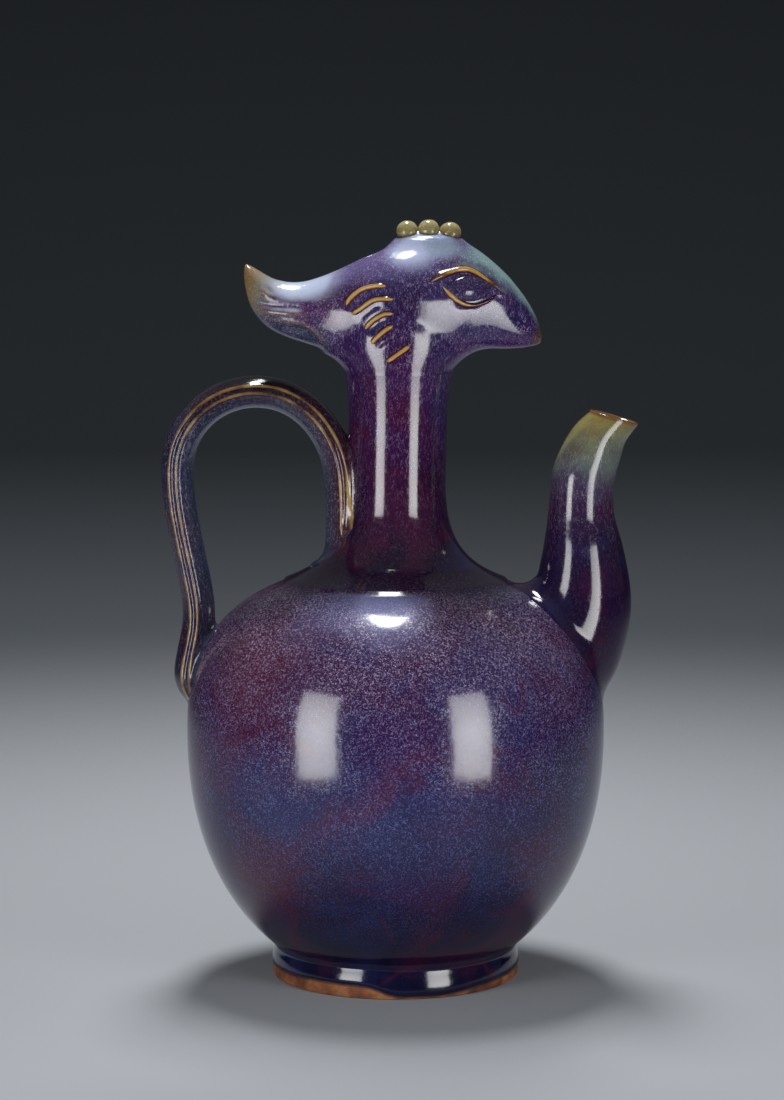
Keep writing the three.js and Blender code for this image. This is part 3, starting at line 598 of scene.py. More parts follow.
# Side-view points, depth, width, least distance from the middle, and share of amber
for line, depth, width, least_y, amber_share in (
        # The pocket round each eye, the groove over its lid, and the soft ridge from the lid on to the beak
        ([(19, 275), (23, 277), (28, 277.5), (33, 275), (38, 271.5)], 1, 4.2, 5, 0),
        ([(21, 271), (26, 268.5), (31, 268), (36, 270)], 0.5, 2.6, 5, 0),
        ([(14, 279.3), (20, 282.2), (26, 283.6), (31, 282.6), (36, 279.4), (40, 275.6)], 0.35, 1.7, 4, 0),
        ([(38, 273.4), (41, 271.6), (45, 269.4)], -0.35, 1.1, 3, 0),
        ([(45, 267), (49, 261.5), (53, 256)], 0.25, 2, 1.5, 0),
        # Furrows under the cheek feathers, so that each stands clear
        ([(-19, 264.6), (-16.6, 268), (-12.4, 271.2), (-7, 272.6)], 0.35, 1.5, 5, 0),
        ([(-16, 261), (-12.6, 263.4), (-8.4, 266.8), (-4, 267.6)], 0.35, 1.5, 5, 0),
        ([(-11, 255.6), (-9, 258.2), (-6, 260.6), (-2, 261.8)], 0.35, 1.5, 5, 0),
        ([(-8.4, 249.8), (-6, 252.6), (-3, 255.2), (0, 257)], 0.35, 1.5, 5, 0),
        # The crest: a fold that parts its underside, a rolled fold with a deep groove over it, and a nick
        ([(-55, 262.5), (-50, 261.6), (-46.1, 261), (-40.8, 260.2), (-36, 260), (-31.1, 256.4),
          (-27.9, 252.6), (-24.6, 249)], -0.6, 1.4, 1, 0.3),
        ([(-52, 260), (-46, 258.7), (-40.8, 257.6), (-36, 257), (-32.2, 253.6), (-29.5, 250.6)],
         0.8, 2, 2, 0),
        ([(-57.5, 270.5), (-55, 267), (-52.5, 265), (-48.8, 264.1), (-44, 263.9), (-37, 263.4), (-31, 263)],
         -0.75, 1.2, 0.8, 0.5),
        ([(-57.5, 273), (-54.5, 269.6), (-51.6, 267.6), (-48, 266.8), (-44, 266.4), (-38, 266), (-32, 266)],
         0.7, 1.2, 0.8, 0),
        ([(-52.6, 273.8), (-50.8, 271.6), (-48.6, 269.9)], -0.5, 0.8, 1, 0.6),
        ([(-51, 274.6), (-49.4, 272.4), (-47.4, 270.8)], 0.4, 0.8, 1, 0)):
    pressed(head, line, depth, width, least_y, amber_share)
wiped(head, rounds=8)


def in_pieces(piece, cuts):
    """Cuts edge loops across a form at (place, normal), so that the shade runs smoothly over a join"""
    bpy.ops.object.select_all(action="DESELECT")
    bpy.context.view_layer.objects.active = piece
    piece.select_set(True)
    bpy.ops.object.mode_set(mode="EDIT")
    for where, normal, clear_inner, clear_outer in cuts:
        bpy.ops.mesh.select_all(action="SELECT")
        bpy.ops.mesh.bisect(plane_co=[value * MM for value in where], plane_no=normal,
                            clear_inner=clear_inner, clear_outer=clear_outer,
                            use_fill=clear_inner or clear_outer)
    bpy.ops.object.mode_set(mode="OBJECT")
    bpy.ops.object.shade_smooth_by_angle(angle=math.radians(50))


CUT_GAP = 0.3
JOIN_HEIGHT = 4
JOIN_WALL = 1.5
JOIN_RADIUS = NECK_RADIUS + NECK_TOP_FLARE
in_pieces(head, [((0, 0, NECK_TOP + CUT_GAP), (0, 0, 1), False, False),
                 ((0, 0, NECK_TOP), (0, 0, 1), True, False),
                 ((HEAD_BACK - CUT_GAP, 0, 0), (1, 0, 0), False, False),
                 ((HEAD_BACK + CUT_GAP, 0, 0), (1, 0, 0), False, False)])
# The foot of the head meets the round top of the neck without a step
for vertex in head.data.vertices:
    x, y, z = [value / MM for value in vertex.co]
    length = math.hypot(x - NECK_LEAN, y)
    if z < NECK_TOP + JOIN_HEIGHT and length > JOIN_RADIUS - JOIN_WALL:
        blend = (1 - (z - NECK_TOP) / JOIN_HEIGHT) ** 2
        scale = 1 + (JOIN_RADIUS / length - 1) * blend
        vertex.co.x = (NECK_LEAN + (x - NECK_LEAN) * scale) * MM
        vertex.co.y = y * scale * MM

crest = head.copy()
crest.data = head.data.copy()
crest.name = "crest_modelled"
bpy.context.collection.objects.link(crest)
in_pieces(crest, [((HEAD_BACK, 0, 0), (1, 0, 0), False, True)])
in_pieces(head, [((HEAD_BACK, 0, 0), (1, 0, 0), True, False)])
head_tree = BVHTree.FromObject(head, bpy.context.evaluated_depsgraph_get())
VEIL_SHIFT = 2


def head_tints(tree, mm, melt, colour):
    """Milky lilac over the head, pale under the crown and along the crest, partly pale glaze and partly
    painted highlights of the overhead lamp, sea green down the beak, grey blue under the crest darkened as
    painted shade, and olive to brown where the glaze runs thin over tips and folds"""
    normal = add(tree, "NewGeometry").outputs["Normal"]
    facing = add(tree, "SeparateXYZ", {0: normal}).outputs["Z"]
    veil = add(tree, "TexNoise", {"Vector": mm, "Scale": 0.11, "Detail": 4})
    lift = add(tree, "Math", {0: veil, 1: 0.5, 2: facing}, operation="MULTIPLY_ADD")
    along = add(tree, "SeparateXYZ", {0: melt}).outputs["X"]
    # The pale band atop the crest is partly painted highlight; grey blue on its down-turned faces is painted
    # shade
    # Lift from and to, X from and to, colour and strength
    for low, high, back, front, code, strength in (
            (0.5, 0.95, 70, -30, "665a8c", 0.8), (0.4, 0.92, -16, -32, "c0cde6", 0.95),
            (0.5, 0.86, 18, 36, "769a94", 0.95), (0.14, -0.1, -22, -30, "202c3e", 0.9)):
        reach = add(tree, "MapRange", {"Value": along, "From Min": back, "From Max": front,
                                       "To Max": strength}, interpolation_type="SMOOTHSTEP")
        colour = tinted(tree, colour, code, lift, low, high, reach)
    # The pale spots under the crown and on the crest are partly pale glaze and partly painted highlights
    # Middle, full radius and outer radius in mm, colour and strength
    for middle, inner, outer, code, strength in (
            ((6, -11, 288), 4, 13, "b4c0de", 0.85), ((18, -8, 290), 3, 10, "8ea2b4", 0.8),
            ((10, 10, 289), 5, 14, "a4aed2", 0.85), ((-40, -5, 273), 3, 10, "c6d4e6", 0.7),
            ((-31, -5, 275), 3, 9, "b8c6de", 0.6), ((-40, 5, 273), 3, 10, "c6d4e6", 0.7),
            ((47, 0, 275), 2, 7.5, "6f938c", 0.9), ((51.5, 0, 269), 1, 7, "66867e", 0.9),
            ((55, 0, 262.5), 1, 6, "566e62", 0.9), ((57.4, 0, 254.6), 2, 8, "46381c", 0.95),
            ((57.6, 0, 252.8), 0.5, 3, "7c5a28", 0.8), ((-60, 0, 277), 9, 20, "7d7a58", 0.85),
            ((-60.5, 0, 276), 5, 12, "8a6c26", 0.95), ((-58.6, 0, 282.8), 0.5, 2.4, "b8904e", 0.9)):
        near = add(tree, "VectorMath", {0: mm, 1: middle}, operation="DISTANCE")
        near = add(tree, "Math", {0: veil, 1: 2 * VEIL_SHIFT, 2: near}, operation="MULTIPLY_ADD")
        colour = tinted(tree, colour, code, near, outer + VEIL_SHIFT, inner + VEIL_SHIFT, strength)
    thin = add(tree, "Attribute", attribute_name="amber").outputs["Fac"]
    return tinted(tree, colour, "8a6a34", thin)


head_glaze = glaze("jun_glaze_head", RUN, MILK, SPECKS, stretch=3, tints=head_tints, patches=TALL_PATCHES)
crest_glaze = glaze("jun_glaze_crest", RUN, [(0, "a084ae"), (300, "b09cc4")], [(0, 0.75), (300, 0.75)],
                    tints=head_tints, patches=[(-36, -10, 264, 18, "44204c", 0.8)])
for piece, finish, nodes, slot in ((head, head_glaze, ("head_near_half", "head_far_half"), "head_glaze"),
                                   (crest, crest_glaze, ("crest",), "crest_glaze")):
    piece.data.materials.append(finish)
    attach(piece, "root")
    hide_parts(*nodes)

# Crown
# An oval pad of clay on top of the head carries three rolled beads in a row, from front to back.
# The glaze ran off the beads, which show olive tan over the clay, and pooled milky blue between them.

PAD_SEAT = 288.4
PAD_RISE = 6
PAD_DEPTH = 3
PAD_FULLNESS = 0.35
WEB_RISE = 2.2
WEB_LENGTH = 1.3
WEB_WIDTH = 2.2
BEAD_RADIUS = 4.15
BEAD_SPACING = 8.35
BEAD_HEIGHT = 295.4
BEAD_UNEVEN = 0.035
BEAD_LONG, BEAD_WIDE, BEAD_HIGH = 1.05, 1.03, 0.98

pad = fresh_mesh("crown_pad_glazed", bpy.ops.mesh.primitive_uv_sphere_add,
                 segments=64, ring_count=32, radius=1)
for vertex in pad.data.vertices:
    x, y, z = vertex.co
    x *= PAD_LENGTH / 2
    y *= PAD_WIDTH / 2
    webs = sum(math.exp(-((x - notch) / WEB_LENGTH) ** 2) for notch in (-BEAD_SPACING / 2, BEAD_SPACING / 2))
    webs *= WEB_RISE * math.exp(-(y / WEB_WIDTH) ** 2)
    rise = PAD_RISE * z ** PAD_FULLNESS + webs if z > 0 else PAD_DEPTH * z
    vertex.co = Vector((CROWN_X + x, y, PAD_SEAT + rise)) * MM
bpy.ops.object.shade_smooth()
# Paler towards the top: partly milky glaze pooled round the beads, partly a painted highlight of the lamp
# overhead
crown_glaze = glaze("jun_glaze_crown", [(0, "7f8fbe"), (285, "7f8fbe"), (293, "98a8d4"), (300, "b4c0e0")],
                    [(0, "c4cfe8"), (300, "dde4f2")], [(0, 0.5), (300, 0.5)])
pad.data.materials.append(crown_glaze)
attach(pad, "root")
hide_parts("crown_pad")

# The same glaze run thin over the beads: olive glass through which the clay shows, with painted shade at
# their foot and a painted highlight on their tops
bead_glaze, tree, mm = fresh_material("thin_olive_glaze")
colour = by_height(tree, mm, [
    (0, "4a3a20"), (292.6, "4a3a20"), (294, "7a693c"), (296, "92834f"), (299.4, "aaa074")])
mottle = cloudy(tree, mm, 0.7, 4, 0.45, 0.7, 0, 0.5)
colour = tinted(tree, colour, "bcb592", mottle)
relief = add(tree, "Bump", {"Strength": 0.15, "Distance": 0.0001, "Height": mottle})
fired(bead_glaze, colour, 0.14, relief)

for number, (name, lift) in enumerate((("rear", 0.1), ("middle", 0.5), ("front", -0.45))):
    bead = fresh_mesh("crown_bead_" + name + "_rolled", bpy.ops.mesh.primitive_cube_add, size=2)
    bpy.ops.object.mode_set(mode="EDIT")
    bpy.ops.mesh.subdivide(number_cuts=11)
    bpy.ops.transform.tosphere(value=1)
    bpy.ops.object.mode_set(mode="OBJECT")
    for vertex in bead.data.vertices:
        unit = vertex.co.normalized()
        reach = BEAD_RADIUS * (1 + BEAD_UNEVEN * noise.noise(unit * 1.3 + Vector((number * 5, 0, 0))))
        vertex.co = Vector((CROWN_X + (number - 1) * BEAD_SPACING + unit.x * reach * BEAD_LONG,
                            unit.y * reach * BEAD_WIDE, BEAD_HEIGHT + lift + unit.z * reach * BEAD_HIGH)) * MM
    bpy.ops.object.shade_smooth()
    bead.data.materials.append(bead_glaze)
    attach(bead, "root")
    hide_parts("crown_bead_" + name)

# Eyes
# Each eye is an almond of clay set in its pocket, with two lids laid round it as thin coils.
# The glaze breaks to amber on the lids and stays violet on the eyeball.

EYE_X = 28.6
EYE_Z = 273.6
EYE_LENGTH = 17.2
EYE_HEIGHT = 10.35
EYE_RISE = 2.6
EYE_BACK = 1.2
EYE_SINK = 0.15
EYE_PINCH = 0.35
LID_RISE = 1.15
COIL_POINTS = 24
COIL_TAPER = 0.14
COIL_SINK = 0.12
COIL_ROOT = 0.7
OUTSIDE = 60


def on_head(x, z, side):
    """The point on the side of the head seen at x and z, and its outward normal, in mm"""
    place, normal, _, _ = head_tree.ray_cast(Vector((x, side * OUTSIDE, z)) * MM, Vector((0, -side, 0)))
    return place / MM, normal


def draped(name, line, side, height):
    """A coil of clay pressed on the head and smoothed into it at its edges, along side-view rows of
    x, z, half width, and the share by which the glaze thins there"""
    points = smooth_rows(line, 8)
    loops, crowns = [], []
    for number, (x, z, width, thinness) in enumerate(points):
        before, after = points[max(number - 1, 0)], points[min(number + 1, len(points) - 1)]
        along = Vector((after[0] - before[0], after[1] - before[1])).normalized()
        share = number / (len(points) - 1)
        taper = max(0.03, min(1, share / COIL_TAPER, (1 - share) / COIL_TAPER)) ** 0.6
        loop = []
        for i in range(COIL_POINTS):
            # Over the crown of the coil from edge to edge, and back under it
            across = 1 - abs(4 * i / COIL_POINTS - 2)
            crown = max(0, math.cos(across * math.pi / 2)) if i <= COIL_POINTS / 2 else 0
            reach = across * width * taper
            place, normal = on_head(x - along.y * reach, z + along.x * reach, side)
            lift = height * taper * crown ** 1.3 - COIL_SINK if i <= COIL_POINTS / 2 else -COIL_ROOT
            loop.append(place + normal * lift)
            crowns.append(thinness * crown)
        loops.append(loop)
    coil = extruded(name, loops)
    coil.data.attributes.new("crown", "FLOAT", "POINT").data.foreach_set("value", crowns)
    return coil


# Glaze broken over a sharp edge: amber where it runs thin on the crown, with a painted highlight along
# its very top, and violet where it pools beside it
amber_glaze, tree, mm = fresh_material("amber_broken_glaze")
mottle = add(tree, "TexNoise", {"Vector": mm, "Scale": 0.5, "Detail": 3})
crown = add(tree, "Attribute", attribute_name="crown").outputs["Fac"]
uneven = add(tree, "Math", {0: mottle, 1: 0.4, 2: crown}, operation="MULTIPLY_ADD")
colour = add(tree, "ValToRGB", {"Fac": uneven}, stops=[
    (0.35, "281236"), (0.68, "461c16"), (0.88, "7e521e"), (1, "b08a4a")])
relief = add(tree, "Bump", {"Strength": 0.15, "Distance": 0.0001, "Height": mottle})
fired(amber_glaze, colour, 0.15, relief)

UPPER_LID = [
    (12.9, 276.1, 2, 0.5), (17.2, 278.4, 1.9, 0.65), (22, 280.2, 1.5, 0.9), (26, 281, 1.5, 1),
    (29.2, 280.5, 1.4, 1), (32.3, 278.9, 1.3, 0.95), (35.5, 276.6, 1.2, 0.8), (38.7, 274.3, 1.1, 0.5),
    (42.7, 271, 0.9, 0.2)]
LOWER_LID = [
    (18.1, 274.5, 1.1, 0.9), (20.9, 271.5, 1.35, 1), (23.6, 269.1, 1.4, 1), (26.8, 267.4, 1.3, 0.85),
    (30, 266.9, 1.2, 0.6), (33.1, 267.5, 1.1, 0.5), (36.7, 269.1, 1, 0.4), (39.5, 271.4, 0.8, 0.2)]
eye_glaze = glaze("jun_glaze_eye", [(0, "2a1a40"), (266, "2a1a40"), (280, "34244e")], MILK,
                  [(0, 0.6), (300, 0.6)])
for side_name, side in (("near", -1), ("far", 1)):
    eye = fresh_mesh("eyeball_" + side_name + "_almond", bpy.ops.mesh.primitive_uv_sphere_add,
                     segments=48, ring_count=24, radius=1)
    for vertex in eye.data.vertices:
        x, y, z = vertex.co
        pinch = 1 - EYE_PINCH * x ** 4
        place, normal = on_head(EYE_X + x * EYE_LENGTH / 2, EYE_Z + z * EYE_HEIGHT / 2 * pinch, side)
        rise = EYE_RISE * abs(y) ** 1.3 * pinch if y * side > 0 else -EYE_BACK * abs(y)
        vertex.co = (place + normal * (rise - EYE_SINK)) * MM
    bpy.ops.object.mode_set(mode="EDIT")
    bpy.ops.mesh.select_all(action="SELECT")
    bpy.ops.mesh.remove_doubles(threshold=WELD)
    bpy.ops.mesh.normals_make_consistent(inside=False)
    bpy.ops.object.mode_set(mode="OBJECT")
    bpy.ops.object.shade_smooth()
    eye.data.materials.append(eye_glaze)
    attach(eye, "root")
    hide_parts("eyeball_" + side_name)
    for lid_name, line in (("upper", UPPER_LID), ("lower", LOWER_LID)):
        node = "eyelid_" + lid_name + "_" + side_name
        lid = draped(node + "_coil", line, side, LID_RISE)
        lid.data.materials.append(amber_glaze)
        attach(lid, "root")
        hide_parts(node)

# Cheek feathers
# Five short curved coils of clay on each cheek, pressed on and smoothed down.
# The glaze runs off their crowns and leaves them amber.

FEATHER_WIDTH = 1.35
FEATHER_RISE = 1.2
FEATHERS = [
    [(-19.2, 267.1), (-17.2, 270), (-13, 273.2), (-8, 274.6), (-3.8, 274.6)],
    [(-17, 263.6), (-13.8, 265.6), (-9, 269), (-5, 269.8), (-1, 269.5)],
    [(-11.7, 258), (-9.8, 260.4), (-7, 262.6), (-4, 263.9), (-1, 264)],
    [(-9.3, 252.3), (-7.4, 254.7), (-4.4, 257.3), (-1, 259.5)],
    [(-3.2, 245.5), (-0.4, 247.5), (2.6, 249.7), (5.5, 251.7)],
]
for side_name, side in (("near", -1), ("far", 1)):
    for number, line in enumerate(FEATHERS, 1):
        node = "cheek_feather_" + side_name + "_" + str(number)
        rows = [(x, z, FEATHER_WIDTH, 1) for x, z in line]
        feather = draped(node + "_coil", rows, side, FEATHER_RISE)
        feather.data.materials.append(amber_glaze)
        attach(feather, "root")
        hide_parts(node)

# Handle
# A strap of clay pulled and fluted by hand, luted along the neck, arched over and pressed on the belly.
# Two ribs run along each edge, amber where the glaze thins, with speckled flutes between them.

STRAP_PATH = [
    (-21.8, 163), (-21.4, 172), (-21.3, 181), (-21.4, 190), (-21.9, 199.5), (-23.8, 208.5), (-27.6, 216.6),
    (-32.6, 223.1), (-38.6, 228), (-45.7, 231.3), (-53.7, 232.6), (-61.7, 231.9), (-69.6, 229), (-76.6, 224),
    (-82.1, 217), (-85.3, 208.6), (-86.1, 199.1), (-85.3, 188.2), (-83.4, 176.9), (-81.2, 166), (-79.2, 156),
    (-78, 147), (-78.2, 140), (-79.2, 134), (-80.4, 128.4), (-81.4, 122), (-81.3, 116), (-79.9, 111.5)]
STRAP_DEPTH = 13
STRAP_WIDTH = 22
STRAP_POINTS = 96
TONGUE_START = 0.93
TONGUE_NARROWING = 0.55
RIB_ANGLE = 27
RIB_WIDTH = 7.5
RIB_START = 172
RIB_FADE = 8
NECK_PART = 0.3
OUTER_RIB = 0.85
STRAP_FILLET = 3.5
FILLET_SINK = 0.25
# Round the strap: degrees from its near edge, and distance out as a share of its full outline
STRAP_OUTLINE = [
    (-90, 0.99), (-72, 0.985), (-48, 0.965), (-28, 0.935), (-13, 0.945), (0, 1), (7, 0.96), (13, 0.93),
    (19, 0.96), (27, 1.01), (37, 0.965), (50, 0.95), (70, 0.975), (90, 0.99)]


def from_edge(degrees):
    """An angle round the strap as one from its nearer edge, out to 90 and in to -90"""
    folded = (degrees + 90) % 360 - 90
    return 180 - folded if folded > 90 else folded


def outline_at(edge):
    """Distance out to the strap's skin at an angle from its nearer edge"""
    for (a, low), (b, high) in zip(STRAP_OUTLINE, STRAP_OUTLINE[1:]):
        if a <= edge <= b:
            t = (edge - a) / (b - a)
            return low + (high - low) * t * t * (3 - 2 * t)


def filleted(piece, count, centres, neighbours, radius):
    """Lets a piece flare out where it meets its neighbours, as slip and glaze fill the corner"""
    for vertex in piece.data.vertices:
        centre = centres[min(vertex.index // count, len(centres) - 1)]
        for tree in neighbours:
            place, normal, _, distance = tree.find_nearest(vertex.co)
            outside = (vertex.co - place).dot(normal)
            gap = max(outside, 0) / MM
            if distance / MM < radius and gap < radius:
                flare = radius - math.sqrt(radius ** 2 - (radius - gap) ** 2)
                away = vertex.co - centre
                away -= normal * away.dot(normal)
                moved = vertex.co + away.normalized() * flare * MM
                place, normal, _, _ = tree.find_nearest(moved)
                vertex.co = place + normal * (outside if outside > 0 else max(outside, -FILLET_SINK * MM))


neck_tree = BVHTree.FromObject(neck, bpy.context.evaluated_depsgraph_get())
belly_tree = BVHTree.FromObject(belly, bpy.context.evaluated_depsgraph_get())
strap_rows = smooth_rows(STRAP_PATH, 7)
strap_loops, strap_centres, strap_ribs, strap_inner = [], [], [], []
for number, (x, z) in enumerate(strap_rows):
    before, after = strap_rows[max(number - 1, 0)], strap_rows[min(number + 1, len(strap_rows) - 1)]
    along = Vector((after[0] - before[0], 0, after[1] - before[1])).normalized()
    outward = Vector((along.z, 0, -along.x))
    share = number / (len(strap_rows) - 1)
    tongue = 1 - TONGUE_NARROWING * max(0, (share - TONGUE_START) / (1 - TONGUE_START)) ** 2
    # The ribs start some way up the neck
    ribbed = min(max((z - RIB_START) / RIB_FADE, 0), 1) if share < NECK_PART else 1
    loop = []
    for i in range(STRAP_POINTS):
        degrees = 360 * i / STRAP_POINTS
        edge = from_edge(degrees)
        up, over = math.sin(math.radians(degrees)), math.cos(math.radians(degrees))
        reach = outline_at(edge) * tongue
        loop.append(Vector((x, 0, z)) + outward * STRAP_DEPTH / 2 * reach * up
                    + Vector((0, -STRAP_WIDTH / 2 * reach * over, 0)))
        strap_ribs.append(ribbed * (OUTER_RIB * math.exp(-(edge / RIB_WIDTH) ** 2)
                                    + math.exp(-((edge - RIB_ANGLE) / RIB_WIDTH) ** 2)))
        strap_inner.append(max(0, -up))
    strap_loops.append(loop)
    strap_centres.append(Vector((x, 0, z)) * MM)
strap = extruded("handle_pulled", strap_loops)
filleted(strap, STRAP_POINTS, strap_centres, [neck_tree, belly_tree], STRAP_FILLET)
for attribute, values in (("crown", strap_ribs), ("inner", strap_inner)):
    strap.data.attributes.new(attribute, "FLOAT", "POINT").data.foreach_set("value", values)


def strap_tints(tree, mm, melt, colour):
    """Amber ribs with grey violet flutes between them, and a blue grey inner face"""
    crown = add(tree, "Attribute", attribute_name="crown").outputs["Fac"]
    mottle = add(tree, "TexNoise", {"Vector": mm, "Scale": 0.09, "Detail": 4})
    uneven = add(tree, "Math", {0: mottle, 1: 0.7, 2: crown}, operation="MULTIPLY_ADD")
    amber = add(tree, "ValToRGB", {"Fac": mottle}, stops=[
        (0.36, "4c2e1a"), (0.5, "7a582a"), (0.64, "988044")])
    inner = add(tree, "Attribute", attribute_name="inner").outputs["Fac"]
    inner = add(tree, "Math", {0: inner, 1: 0.85}, operation="MULTIPLY")
    colour = tinted(tree, colour, "26334a", inner)
    return tinted(tree, colour, amber, uneven, 0.7, 1.3, 0.95)


# Red brown patches where the strap leaves the neck
strap_glaze = glaze(
    "jun_glaze_handle", [(0, "1c1024"), (130, "1e1226"), (190, "241a2c"), (225, "1a1220"), (236, "0e0912")],
    [(0, "6c6078"), (190, "8f8a98"), (300, "7c7884")], [(0, 0.5), (220, 0.6), (230, 0.4), (237, 0.05)],
    stretch=2, tints=strap_tints,
    patches=[(-22, 0, 190, 34, "3c0e14", 0.85), (-36, 0, 226, 18, "300c18", 0.6)])
strap.data.materials.append(strap_glaze)
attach(strap, "root")
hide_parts("handle")

# Spout
# A tapered tube, formed over a stick and bent, luted over the belly's hole, with its mouth cut at a slant.
# The glaze thins towards the mouth, from violet through grey green to olive, and bares clay on the rim.

SPOUT_POINTS = 80
SPOUT_WALL = 3.2
SPOUT_FILLET = 4.5
# Centre line and section: x, z, radius, narrowing from front to back and tilt in degrees
SPOUT_SECTIONS = [
    (57.5, 128.3, 26, 0.79, 54), (68.8, 136.5, 26, 0.79, 54), (73.5, 145.3, 23, 0.85, 41.5),
    (75.6, 158.8, 19.8, 0.91, 26), (74.9, 173.5, 16, 0.97, 14.5), (73.4, 185.7, 13, 1, 5.5),
    (74.1, 199, 12.5, 1, 7), (77.2, 208.6, 11.7, 1, 15.5), (80.8, 216.2, 10.5, 1, 18),
    (86, 222.1, 9.8, 1, 16)]
# The rolled lip: each ring's way forward out of the mouth and its change of radius
LIP = [(0.5, 0.15), (0.75, -0.2), (0.72, -0.95), (0.2, -1.8), (-0.8, -2.4), (-2.2, -2.7)]


def spout_loop(x, z, radius, flat, tilt):
    """One slanted oval section of the spout"""
    lean = math.radians(tilt)
    loop = []
    for i in range(SPOUT_POINTS):
        turn = math.tau * i / SPOUT_POINTS
        front, side = radius * math.cos(turn), radius * flat * math.sin(turn)
        loop.append(Vector((x + front * math.cos(lean), side, z - front * math.sin(lean))))
    return loop


outer_rows = smooth_rows(SPOUT_SECTIONS, 9)
mouth_x, mouth_z, mouth_radius, _, mouth_tilt = outer_rows[-1]
facing = Vector((math.sin(math.radians(mouth_tilt)), 0, math.cos(math.radians(mouth_tilt))))
lip_rows = [
    (mouth_x + facing.x * forward, mouth_z + facing.z * forward, mouth_radius + widening, 1, mouth_tilt)
    for forward, widening in LIP]
# The channel runs back down inside, with every second ring
inner_rows = [(x, z, radius - SPOUT_WALL, flat, tilt) for x, z, radius, flat, tilt in outer_rows[30:-3:2]]
spout_rows = outer_rows + lip_rows + inner_rows[::-1]
spout = extruded("spout_bent", [spout_loop(*row) for row in spout_rows])
spout_centres = [Vector((x, 0, z)) * MM for x, z, _, _, _ in spout_rows]
filleted(spout, SPOUT_POINTS, spout_centres, [belly_tree], SPOUT_FILLET)


def spout_tints(tree, mm, melt, colour):
    """The bare brown rim of the mouth"""
    place = add(tree, "VectorMath", {0: mm, 1: facing}, operation="DOT_PRODUCT")
    level = Vector((mouth_x, 0, mouth_z)).dot(facing)
    return tinted(tree, colour, "6c4a26", place, level - 1.2, level - 0.2, 0.9)


spout_glaze = glaze(
    "jun_glaze_spout", [(0, "140820"), (140, "160924"), (170, "1c0c2a"), (187, "2a1636"), (196, "3a3048"),
                        (205, "545c5a"), (213, "6c6e50"), (222, "84763c")],
    [(0, "4a3f6e"), (160, "5c4f7c"), (190, "8a8298"), (210, "9aa294"), (226, "a8a270")],
    [(0, 0.22), (160, 0.22), (195, 0.5), (212, 0.4), (225, 0.15)], stretch=2.5, tints=spout_tints)
spout.data.materials.append(spout_glaze)
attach(spout, "root")
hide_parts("spout")

# Studio
# A pale paper sweep with a painted pool of light, pale round the ewer and darker away from it,
# two upright softboxes with grids in front of it, and one oval softbox overhead.

# Painted pool of light on the paper: pale within this distance in mm, dark beyond that, its edge wavering
# with the fibre
PALE_WITHIN = 200
DARK_BEYOND = 1100
FIBRE_SHIFT = 50
SWEEP_CURVE = 0.95

sweep = fresh_mesh("studio_sweep", bpy.ops.mesh.primitive_plane_add, size=1)
bpy.ops.object.mode_set(mode="EDIT")
bpy.ops.transform.resize(value=(14, 7, 1))
bpy.ops.mesh.select_mode(type="EDGE")
bpy.ops.mesh.select_all(action="DESELECT")
mesh = bmesh.from_edit_mesh(sweep.data)
for edge in mesh.edges:
    edge.select = all(vertex.co.y > 1 for vertex in edge.verts)
bpy.ops.mesh.extrude_region_move(TRANSFORM_OT_translate={"value": (0, 0, 1)})
bpy.ops.mesh.select_all(action="DESELECT")
mesh = bmesh.from_edit_mesh(sweep.data)
for edge in mesh.edges:
    edge.select = all(vertex.co.y > 1 and vertex.co.z < 1 for vertex in edge.verts)
bpy.ops.mesh.bevel(offset=SWEEP_CURVE, segments=32)
bpy.ops.object.mode_set(mode="OBJECT")
bpy.ops.object.shade_smooth()
paper, tree, mm = fresh_material("grey_paper_sweep")
fibre = add(tree, "TexNoise", {"Vector": mm, "Scale": 0.4, "Detail": 2})
away = add(tree, "VectorMath", {0: mm}, operation="LENGTH")
away = add(tree, "Math", {0: fibre, 1: FIBRE_SHIFT, 2: away}, operation="MULTIPLY_ADD")
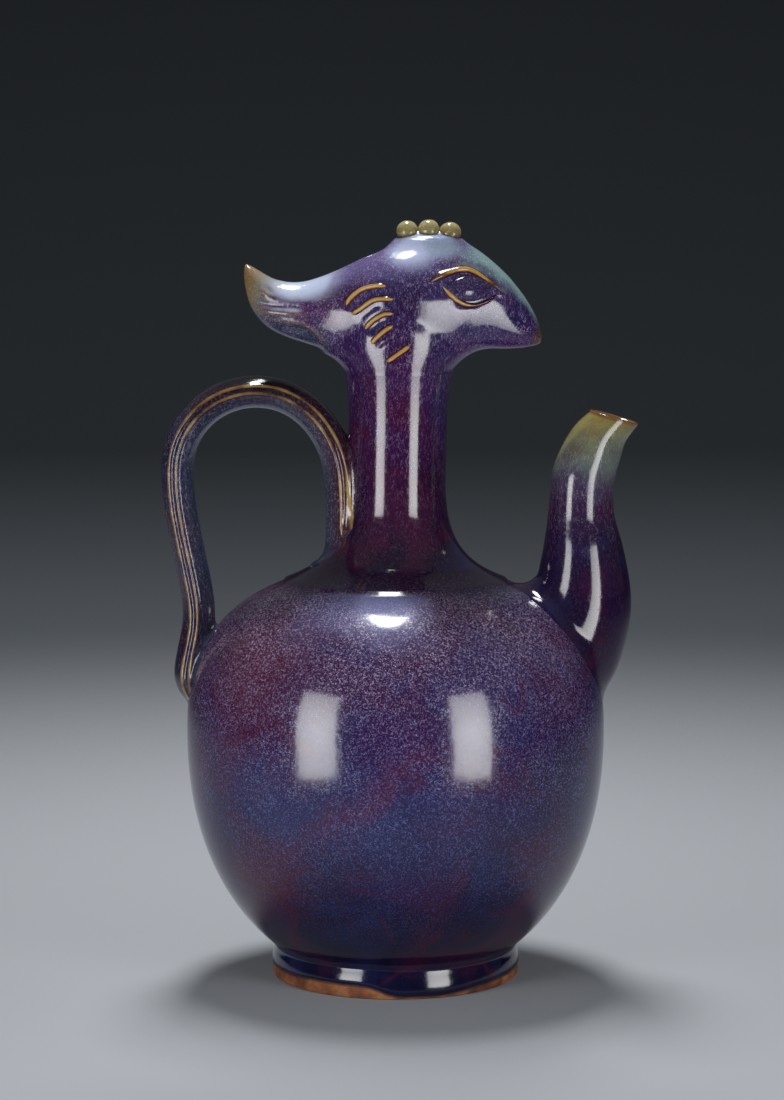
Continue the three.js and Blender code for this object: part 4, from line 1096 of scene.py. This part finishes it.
# Painted pool of light: pale near the ewer, darker away from it
tone = tinted(tree, linear("a0a3a8"), "505458", away, PALE_WITHIN, DARK_BEYOND)
matt = add(tree, "BsdfDiffuse", {"Color": tone})
add(tree, "OutputMaterial", {"Surface": matt})
sweep.data.materials.append(paper)

world = bpy.data.worlds.new("studio_air")
bpy.context.scene.world = world
world.use_nodes = True
tree = world.node_tree
tree.nodes.clear()
place = add(tree, "TexCoord").outputs["Generated"]
height = add(tree, "SeparateXYZ", {0: place}).outputs["Z"]
air = add(tree, "ValToRGB", {"Fac": height}, stops=[(0.1, "3e4145"), (1, "6c7074")])
air = add(tree, "Background", {"Color": air})
add(tree, "OutputWorld", {"Surface": air})

# Name, place in metres, the point it faces in mm, shape, width, height, watts and spread in degrees
for name, place, target, shape, width, height, power, spread in (
        ("softbox_left", (-0.235, -0.292, 0.145), (-29, -74, 145), "RECTANGLE", 0.134, 0.25, 0.275, 90),
        ("softbox_right", (0.2275, -0.298, 0.145), (27, -75, 145), "RECTANGLE", 0.128, 0.25, 0.265, 90),
        ("softbox_above", (-0.05, 0.455, 1.5), (-50, 455.1, 0), "ELLIPSE", 0.28, 0.75, 24, 180)):
    lamp = bpy.data.lights.new(name, "AREA")
    lamp.shape = shape
    lamp.size = width
    lamp.size_y = height
    lamp.energy = power
    lamp.spread = math.radians(spread)
    box = bpy.data.objects.new(name, lamp)
    bpy.context.collection.objects.link(box)
    box.location = place
    box.rotation_euler = (Vector(target) * MM - Vector(place)).to_track_quat("-Z", "Y").to_euler()
    box.visible_camera = False

# The camera looks down a little, and its focal length is in pixels of the frame
SENSOR = 36
FRAME_HEIGHT = 1100
FOCAL_LENGTH = 3383
CAMERA_TILT = 6.4
camera_data = bpy.data.cameras.new("camera")
camera_data.lens = FOCAL_LENGTH / FRAME_HEIGHT * SENSOR
camera_data.sensor_width = SENSOR
camera = bpy.data.objects.new("camera", camera_data)
bpy.context.collection.objects.link(camera)
camera.location = (-0.0014, -1.33, 0.319)
camera.rotation_euler = (math.radians(90 - CAMERA_TILT), 0, 0)
bpy.context.scene.camera = camera
bpy.context.scene.view_settings.view_transform = "Standard"

bpy.context.view_layer.update()
